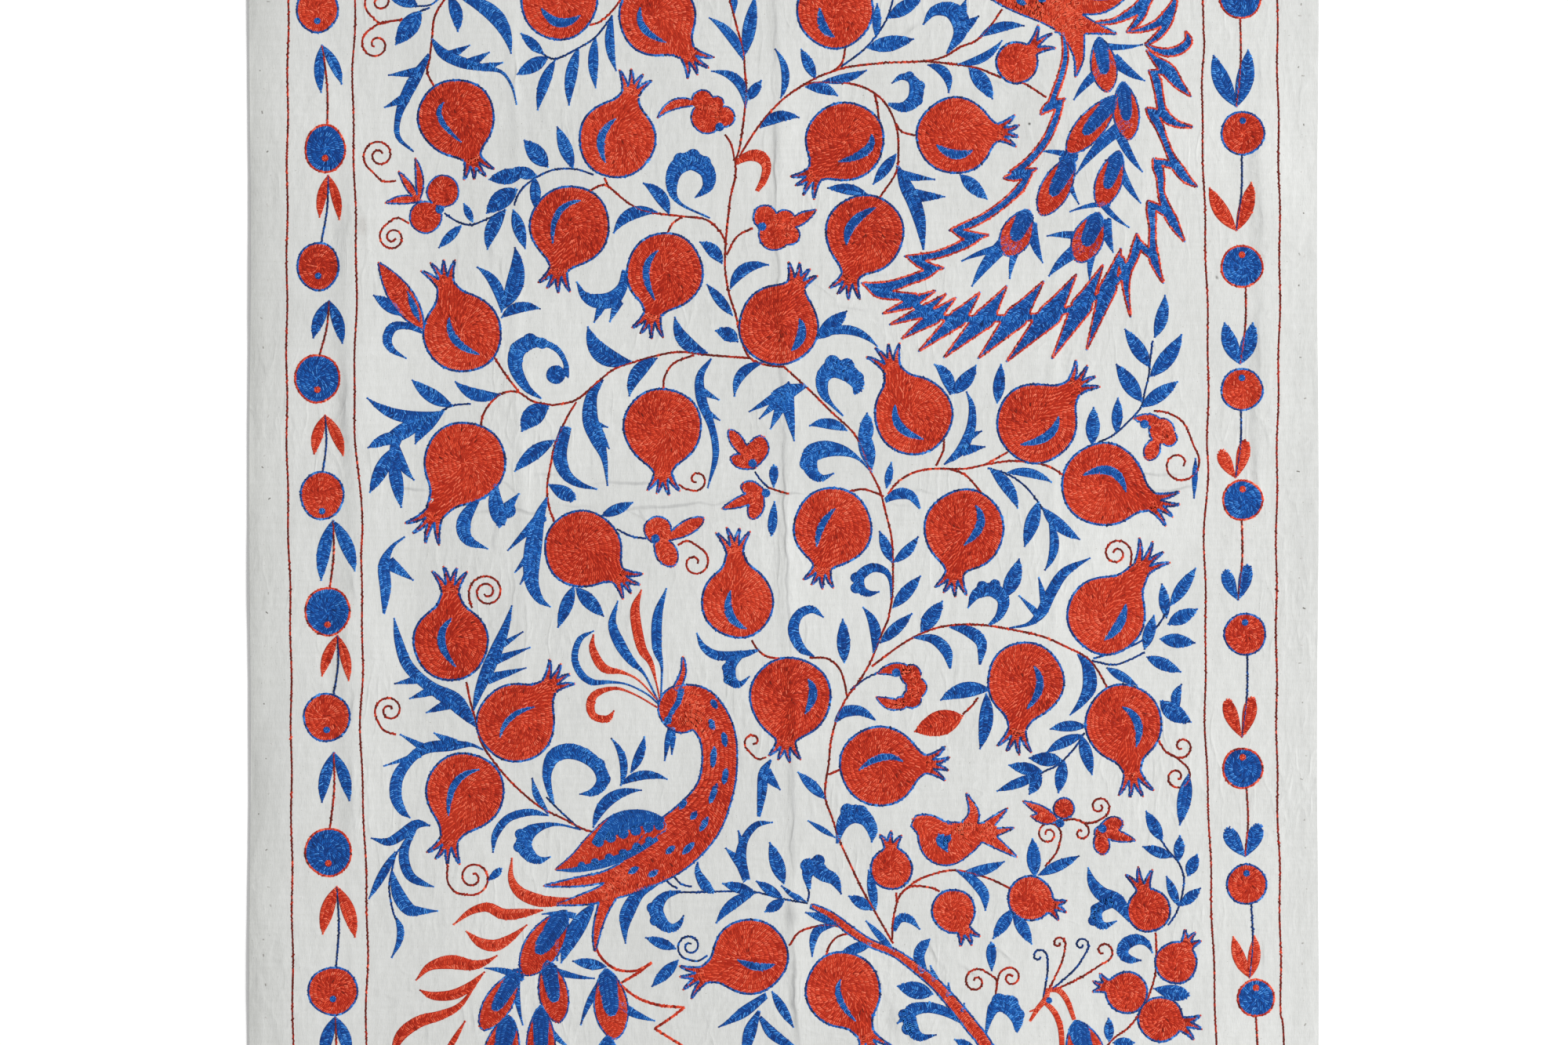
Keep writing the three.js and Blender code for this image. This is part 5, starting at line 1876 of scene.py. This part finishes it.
def sew_hem():
    """Small stitches that show along the turned hem, unevenly spaced; their grey is painted shade of the
    dimples they pull in the cloth.
    """
    for span, other in ((LENGTH, WIDTH), (WIDTH, LENGTH)):
        for side in (-1, 1):
            along = np.arange(-span / 2 + HEM_CORNER, span / 2 - HEM_CORNER, HEM_STITCH_PITCH)
            count = len(along)
            along = along + rng.normal(0, HEM_STRAY_ALONG, count)
            across = side * (other / 2 - HEM_STITCH_INSET) + rng.normal(0, HEM_STRAY_ACROSS, count)
            x, y = (across, along) if span == LENGTH else (along, across)
            middle = np.column_stack([x + CHART_MIDDLE_U, CHART_MIDDLE_V - y])
            heading = rng.normal(0, 1, middle.shape)
            length = rng.uniform(*HEM_STITCH_LENGTHS, count)
            tone = rng.normal(0, HEM_STITCH_TONE, count)
            sew("hem", middle, heading, length, HEM_STITCH_WIDTH, HEM_STITCH_RISE, tone)


# Meshes


def grid_faces(rows, columns, start=0):
    """Corner numbers of the cells between rows and columns of points."""
    index = start + np.arange(rows * columns).reshape(rows, columns)
    corners = [index[:-1, :-1], index[1:, :-1], index[1:, 1:], index[:-1, 1:]]
    return np.stack(corners, axis=-1).reshape(-1, 4)


def floats(values):
    return np.ascontiguousarray(values, np.float32).ravel()


def mesh_from(name, points, loops, sizes, tint=None):
    """A smooth mesh from corner numbers and face sizes, with a flat map of the cloth for its surface."""
    mesh = bpy.data.meshes.new(name)
    mesh.vertices.add(len(points))
    mesh.vertices.foreach_set("co", floats(points * MM))
    mesh.loops.add(len(loops))
    mesh.loops.foreach_set("vertex_index", np.ascontiguousarray(loops, np.int32))
    mesh.polygons.add(len(sizes))
    starts = np.concatenate([[0], np.cumsum(sizes)[:-1]]).astype(np.int32)
    mesh.polygons.foreach_set("loop_start", starts)
    mesh.polygons.foreach_set("use_smooth", np.ones(len(sizes), bool))
    flat = mesh.uv_layers.new(name="OFBake")
    flat.data.foreach_set("uv", floats(points[loops, :2] / (WIDTH, LENGTH) + 0.5))
    if tint is not None:
        colours = mesh.attributes.new("Tint", "FLOAT_COLOR", "POINT")
        colours.data.foreach_set("color", floats(tint))
    mesh.update(calc_edges=True)
    mesh.validate()
    piece = bpy.data.objects.new(name, mesh)
    bpy.context.collection.objects.link(piece)
    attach(piece, "root")
    return piece


def on_cloth(chart):
    return chart[..., 0] - CHART_MIDDLE_U, CHART_MIDDLE_V - chart[..., 1]


def tint_of(thread, tone, x, y):
    """Thread colour by tone, uneven in soft patches."""
    patch = PATCH_TONE * ripples(x, y, PATCH_RIPPLES)
    drift = DRIFT_TONE * ripples(x, y, DRIFT_RIPPLES)
    level = np.clip(tone + patch + drift, TONES[0], TONES[-1])
    colours = np.array([THREADS[thread][name] for name in TONE_NAMES])
    mixed = np.column_stack([np.interp(level, TONES, channel) for channel in colours.T])
    return np.column_stack([mixed, np.ones(len(mixed))])


def stitch_piece(name, thread, rows):
    """All the stitches of one thread in one part of the cloth, as one mesh."""
    x, y = on_cloth(rows[:, :2])
    ahead_x, ahead_y = rows[:, 2], -rows[:, 3]
    length, width, rise, tone = rows[:, 4:8].T
    count = len(rows)
    swing = rng.normal(0, STITCH_SWING, count)
    ahead_x, ahead_y = ahead_x - ahead_y * swing, ahead_y + ahead_x * swing
    length = length * rng.uniform(*LENGTH_RANGE, count)
    width = width * rng.uniform(*WIDTH_RANGE, count)
    rise = rise * rng.uniform(*RISE_RANGE, count)
    along = STITCH_POINTS[:, 0] * length[:, None] / 2
    across = STITCH_POINTS[:, 1] * width[:, None] / 2
    place_x = x[:, None] + ahead_x[:, None] * along - ahead_y[:, None] * across
    place_y = y[:, None] + ahead_y[:, None] * along + ahead_x[:, None] * across
    up = STITCH_POINTS[:, 2] * (rise + STITCH_SINK)[:, None] - STITCH_SINK
    place_z = cloth_height(place_x, place_y) + up + STITCH_LIFT
    points = np.stack([place_x, place_y, place_z], axis=-1).reshape(-1, 3)
    corners = len(STITCH_POINTS)
    loops = (STITCH_LOOPS[None] + corners * np.arange(count)[:, None]).ravel()
    # Painted sheen: the tone shifts with each stitch's heading, as silk's lustre changes with the light
    painted_sheen = PAINTED_SHEEN_TONE * np.cos(2 * np.arctan2(ahead_y, ahead_x) - PAINTED_SHEEN_HEADING)
    pairs = np.repeat(rng.normal(0, PAIR_TONE, count // 2 + 1), 2)[:count]
    tint = tint_of(thread, tone + painted_sheen + pairs + rng.normal(0, STITCH_TONE, count), x, y)
    return mesh_from(name, points, loops, np.tile(STITCH_SIZES, count), np.repeat(tint, corners, axis=0))


def ground_piece(name, thread):
    """The thin ground of one thread that lies under its stitches, darker as painted shade in the gaps between
    them.
    """
    points, loops, tones = [], [], []
    start = 0
    for patch, rise, tone in GROUND[thread]:
        x, y = on_cloth(patch)
        spread_x = np.gradient(x, axis=0) * np.gradient(y, axis=1)
        spread_y = np.gradient(y, axis=0) * np.gradient(x, axis=1)
        if (spread_x - spread_y).sum() < 0:
            x, y = x[::-1], y[::-1]
        z = cloth_height(x, y) + rise
        points.append(np.stack([x, y, z], axis=-1).reshape(-1, 3))
        loops.append(grid_faces(*x.shape, start))
        tones.append(np.full(x.size, tone + GAP_PAINTED_SHADE_TONE))
        start += x.size
    points = np.vstack(points)
    loops = np.vstack(loops)
    tint = tint_of(thread, np.concatenate(tones), points[:, 0], points[:, 1])
    return mesh_from(name, points, loops.ravel(), np.full(len(loops), 4), tint)


def edge_inset(along, shift):
    return EDGE_WAVE * (0.5 - 0.5 * np.cos(2 * np.pi * along / EDGE_WAVE_LENGTH + shift))


def mark_edges(piece, on_edge, count):
    """Sharp edges round the face and round the back, which start at points 0 and count."""
    ends = np.zeros(2 * len(piece.data.edges), np.int32)
    piece.data.edges.foreach_get("vertices", ends)
    first, second = ends.reshape(-1, 2).T
    cut = on_edge[first] & on_edge[second] & ((first < count) == (second < count))
    piece.data.edges.foreach_set("use_edge_sharp", cut)


def cloth_piece():
    """One closed sheet, raised in its folds and wrinkles, thicker along its turned hem."""
    x, y = np.meshgrid(COLUMNS, ROWS, indexing="ij")
    bottom = lift(x, y)
    inset_x = np.where(np.abs(x) == WIDTH / 2, edge_inset(y, 0) * np.sign(x), 0)
    inset_y = np.where(np.abs(y) == LENGTH / 2, edge_inset(x, EDGE_WAVE_SHIFT) * np.sign(y), 0)
    x, y = x - inset_x, y - inset_y
    upper = np.stack([x, y, TOP], axis=-1).reshape(-1, 3)
    lower = np.stack([x, y, bottom], axis=-1).reshape(-1, 3)
    count = len(upper)
    index = np.arange(count).reshape(x.shape)
    ring = np.concatenate([index[:, 0], index[-1, 1:], index[-2::-1, -1], index[0, -2:0:-1]])
    after = np.roll(ring, -1)
    face = grid_faces(*x.shape)
    back = grid_faces(*x.shape, count)[:, ::-1]
    side = np.column_stack([ring + count, after + count, after, ring])
    faces = np.vstack([face, back, side])
    points = np.vstack([upper, lower])
    piece = mesh_from("embroidered_cloth", points, faces.ravel(), np.full(len(faces), 4))
    on_edge = np.zeros(2 * count, bool)
    on_edge[ring] = True
    on_edge[ring + count] = True
    mark_edges(piece, on_edge, count)
    return piece


# Materials


class Surface:
    """A material, with short ways to add nodes to it.

    A node is added after those that feed it: the renderer keeps too many values in hand otherwise.
    """

    def __init__(self, name, roughness, specular):
        self.material = bpy.data.materials.new(name)
        self.material.use_nodes = True
        self.tree = self.material.node_tree
        self.shader = self.tree.nodes["Principled BSDF"]
        self.shader.inputs["Roughness"].default_value = roughness
        self.shader.inputs["Specular IOR Level"].default_value = specular

    def add(self, kind, **settings):
        node = self.tree.nodes.new("ShaderNode" + kind)
        for name, value in settings.items():
            setattr(node, name, value)
        return node

    def feed(self, socket, value):
        """Links a socket to another node's output, or sets it."""
        if isinstance(value, bpy.types.NodeSocket):
            self.tree.links.new(value, socket)
        else:
            socket.default_value = value

    def place(self):
        return self.add("TexCoord").outputs["Object"]

    def mapped(self, vector, kind="POINT", **values):
        node = self.add("Mapping", vector_type=kind)
        self.feed(node.inputs["Vector"], vector)
        for socket, value in values.items():
            node.inputs[socket].default_value = value
        return node.outputs["Vector"]

    def noise(self, vector, scale, detail, stretch=None, output="Fac"):
        stretched = self.mapped(vector, Scale=stretch) if stretch else vector
        node = self.add("TexNoise")
        node.inputs["Scale"].default_value = scale
        node.inputs["Detail"].default_value = detail
        self.feed(node.inputs["Vector"], stretched)
        return node.outputs[output]

    def ramp(self, value, *stops):
        node = self.add("ValToRGB")
        for element, (position, colour) in zip(node.color_ramp.elements, stops):
            element.position = position
            element.color = (*colour, 1)
        self.feed(node.inputs["Fac"], value)
        return node.outputs["Color"]

    def multiply(self, first, second):
        node = self.add("Mix", data_type="RGBA", blend_type="MULTIPLY")
        node.inputs["Factor"].default_value = 1
        self.feed(node.inputs["A"], first)
        self.feed(node.inputs["B"], second)
        return node.outputs["Result"]

    def calculate(self, operation, *values):
        node = self.add("Math", operation=operation)
        for socket, value in zip(node.inputs, values):
            self.feed(socket, value)
        return node.outputs["Value"]

    def calculate_vector(self, operation, *values):
        node = self.add("VectorMath", operation=operation)
        for socket, value in zip(node.inputs, values):
            self.feed(socket, value)
        return node.outputs["Vector"]

    def spot(self, vector, u, v, heading, length, width):
        """A soft oval of the given size: 1 at its middle and 0 outside it."""
        x, y = on_cloth(np.array([u, v]))
        turned = self.mapped(
            vector,
            "TEXTURE",
            Location=(x * MM, y * MM, 0),
            Rotation=(0, 0, -np.radians(heading)),
            Scale=(length / 2 * MM, width / 2 * MM, 1),
        )
        oval = self.add("TexGradient", gradient_type="QUADRATIC_SPHERE")
        self.feed(oval.inputs["Vector"], turned)
        return oval.outputs["Fac"]

    def spots(self, vector, chart):
        """The sum of charted spots, each by its strength."""
        total = 0.0
        for *oval, strength in chart:
            total = self.calculate("MULTIPLY_ADD", self.spot(vector, *oval), strength, total)
        return total

    def bump(self, height, strength, distance):
        node = self.add("Bump")
        node.inputs["Strength"].default_value = strength
        node.inputs["Distance"].default_value = distance
        self.feed(node.inputs["Height"], height)
        self.feed(self.shader.inputs["Normal"], node.outputs["Normal"])


def silk(name, thread):
    """Twisted silk: its colour is each stitch's own, with a soft lustre."""
    surface = Surface(name, THREADS[thread]["roughness"], SILK_SPECULAR)
    place = surface.place()
    tint = surface.add("Attribute", attribute_name="Tint").outputs["Color"]
    speckle = surface.noise(place, GRAIN_SCALE, SILK_DETAIL)
    shaded, clear = GRAIN_RANGE
    grain = surface.ramp(speckle, (shaded, THREADS[thread]["shade"]), (clear, WHITE))
    surface.feed(surface.shader.inputs["Base Color"], surface.multiply(tint, grain))
    surface.bump(surface.noise(place, TWIST_SCALE, SILK_DETAIL), TWIST_STRENGTH, TWIST_DEPTH)
    return surface.material


def straying(surface, place):
    """Places on the cloth, pushed a little to and fro so that lines drawn there wander."""
    push = surface.noise(place, STRAY_SCALE, 1, output="Color")
    pushed = surface.calculate_vector("MULTIPLY_ADD", push, (STRAY, STRAY, 0), place)
    return surface.calculate_vector("SUBTRACT", pushed, (STRAY / 2, STRAY / 2, 0))


def fine_creases(surface, place, stretch, shift):
    """Thin wandering lines, 1 along each line, in patches."""
    shifted = surface.mapped(place, Location=(shift, shift, 0))
    away = surface.calculate("SUBTRACT", surface.noise(shifted, FINE_CREASE_SCALE, 2, stretch), 0.5)
    lines = surface.ramp(surface.calculate("ABSOLUTE", away), (0.0, WHITE), (FINE_CREASE_WIDTH, BLACK))
    low, high = FINE_PATCH_RANGE
    patches = surface.ramp(surface.noise(shifted, FINE_PATCH_SCALE, 1), (low, BLACK), (high, WHITE))
    return surface.calculate("MULTIPLY", lines, patches)


def cotton_threads(surface, place):
    """The cloth's colour: mottled, with thick threads both ways and dark specks."""
    low, high = SHADE_RANGE
    mottle = surface.noise(place, MOTTLE_SCALE, COTTON_DETAIL)
    ground = surface.ramp(mottle, (low, COTTON_SHADE), (high, COTTON_LIGHT))
    slubs = []
    for stretch in (WEFT_STRETCH, WARP_STRETCH):
        thick = surface.noise(place, SLUB_SCALE, COTTON_DETAIL, stretch)
        slubs.append(surface.ramp(thick, (low, SLUB_SHADE), (high, WHITE)))
    weft, warp = slubs
    low, high = SPECK_RANGE
    speck = surface.ramp(surface.noise(place, SPECK_SCALE, 1), (low, SPECK_SHADE), (high, WHITE))
    return surface.multiply(surface.multiply(ground, weft), surface.multiply(warp, speck))


def stained(surface, place, colour):
    for *oval, left in STAINS:
        stain = surface.spot(place, *oval)
        shade = tuple(left * share for share in STAIN_WARMTH)
        colour = surface.multiply(colour, surface.ramp(stain, (0.0, WHITE), (STAIN_REACH, shade)))
    return colour


def left_margin_painted_shade(surface, place):
    """Painted shade along the left edge: darker towards it, where the light from the right is weakest."""
    sides = surface.add("SeparateXYZ")
    surface.feed(sides.inputs["Vector"], place)
    from_edge = WIDTH * MM / 2 / PAINTED_LEFT_SHADE_WIDTH
    inward = surface.calculate("MULTIPLY_ADD", sides.outputs["X"], 1 / PAINTED_LEFT_SHADE_WIDTH, from_edge)
    return surface.ramp(inward, (0.0, PAINTED_LEFT_SHADE), (1.0, WHITE))


def cotton_relief(surface, place, wrinkles):
    """Height in millimetres of the wrinkles, the unevenness, the fine creases and the weave."""
    height = surface.calculate("MULTIPLY", wrinkles, WRINKLE_RISE)
    for *pattern, rise in UNEVEN_CLOTH:
        height = surface.calculate("MULTIPLY_ADD", surface.noise(place, *pattern), rise, height)
    for *pattern, rise in FINE_CREASES:
        lines = fine_creases(surface, place, *pattern)
        height = surface.calculate("MULTIPLY_ADD", lines, rise, height)
    for *pattern, rise in WEAVE:
        height = surface.calculate("MULTIPLY_ADD", surface.noise(place, *pattern), rise, height)
    return height


def cotton():
    """Plain woven cotton, off-white, with slubs, small wrinkles, faint stains and specks, and painted shade
    in its wrinkles, along its pressed creases and at its left margin.
    """
    surface = Surface("cotton", COTTON_ROUGHNESS, COTTON_SPECULAR)
    surface.shader.inputs["Sheen Weight"].default_value = COTTON_SHEEN
    place = surface.place()
    colour = stained(surface, place, cotton_threads(surface, place))
    stray = straying(surface, place)
    wrinkles = surface.spots(stray, WRINKLES)
    pressed = surface.spots(stray, PAINTED_CREASE_LINES)
    # Painted shade in the wrinkles and along the pressed creases
    painted_fold_shade = surface.multiply(
        surface.ramp(wrinkles, (0.0, WHITE), (1.0, PAINTED_WRINKLE_SHADE)),
        surface.ramp(pressed, (0.0, WHITE), (PAINTED_CREASE_REACH, PAINTED_CREASE_SHADE)),
    )
    # The left margin is darkened with painted shade
    colour = surface.multiply(surface.multiply(colour, painted_fold_shade), left_margin_painted_shade(surface, place))
    surface.feed(surface.shader.inputs["Base Color"], colour)
    surface.bump(cotton_relief(surface, place, wrinkles), 1, MM)
    return surface.material


# Building


def embroider(thread):
    """The stitches of one thread, by half of the cloth, and the ground under them."""
    material = silk(thread + "_silk", thread)
    all_rows = np.vstack(STITCHES[thread])
    upper = all_rows[:, 1] < CHART_MIDDLE_V
    made = [
        stitch_piece(thread + "_stitches_upper", thread, all_rows[upper]),
        stitch_piece(thread + "_stitches_lower", thread, all_rows[~upper]),
        ground_piece(thread + "_ground", thread),
    ]
    for piece in made:
        piece.data.materials.append(material)
    return made


sew_vine()
sew_birds()
sew_border()
sew_hem()

cloth = cloth_piece()
cloth.data.materials.append(cotton())
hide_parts("suzani_cloth")

embroidery = [*embroider("red"), *embroider("blue")]

hem = stitch_piece("hem_stitches", "hem", np.vstack(STITCHES["hem"]))
hem.data.materials.append(silk("hem_thread_painted_shade", "hem"))
embroidery.append(hem)

# Stage


def floor():
    surface = Surface("floor", FLOOR_ROUGHNESS, FLOOR_SPECULAR)
    surface.shader.inputs["Base Color"].default_value = FLOOR_COLOUR
    surface.shader.inputs["Emission Color"].default_value = (*WHITE, 1)
    surface.shader.inputs["Emission Strength"].default_value = FLOOR_GLOW
    half = FLOOR_SIZE / 2
    corners = [(-half, -half, 0), (half, -half, 0), (half, half, 0), (-half, half, 0)]
    mesh = bpy.data.meshes.new("floor")
    mesh.from_pydata(corners, [], [(0, 1, 2, 3)])
    mesh.materials.append(surface.material)
    plane = bpy.data.objects.new("floor", mesh)
    bpy.context.collection.objects.link(plane)


def camera():
    """Looks straight down at the middle of the picture."""
    data = bpy.data.cameras.new("camera")
    data.sensor_width = SENSOR
    data.lens = SENSOR * CAMERA_HEIGHT / PICTURE_WIDTH
    data.clip_end = CAMERA_REACH
    eye = bpy.data.objects.new("camera", data)
    eye.location = (0, (CHART_MIDDLE_V - PICTURE_MIDDLE_V) * MM, CAMERA_HEIGHT)
    bpy.context.collection.objects.link(eye)
    bpy.context.scene.camera = eye


def key_light():
    data = bpy.data.lights.new("key", "AREA")
    data.shape = "DISK"
    data.size = KEY_SIZE
    data.energy = KEY_POWER
    lamp = bpy.data.objects.new("key", data)
    lamp.location = KEY_PLACE
    lamp.rotation_euler = Vector(KEY_PLACE).to_track_quat("Z", "Y").to_euler()
    bpy.context.collection.objects.link(lamp)


def world_light():
    world = bpy.data.worlds.new("studio")
    world.use_nodes = True
    background = world.node_tree.nodes["Background"]
    background.inputs["Color"].default_value = (*WHITE, 1)
    background.inputs["Strength"].default_value = WORLD_STRENGTH
    bpy.context.scene.world = world


bpy.context.scene.view_settings.view_transform = "Standard"
floor()
camera()
world_light()
key_light()
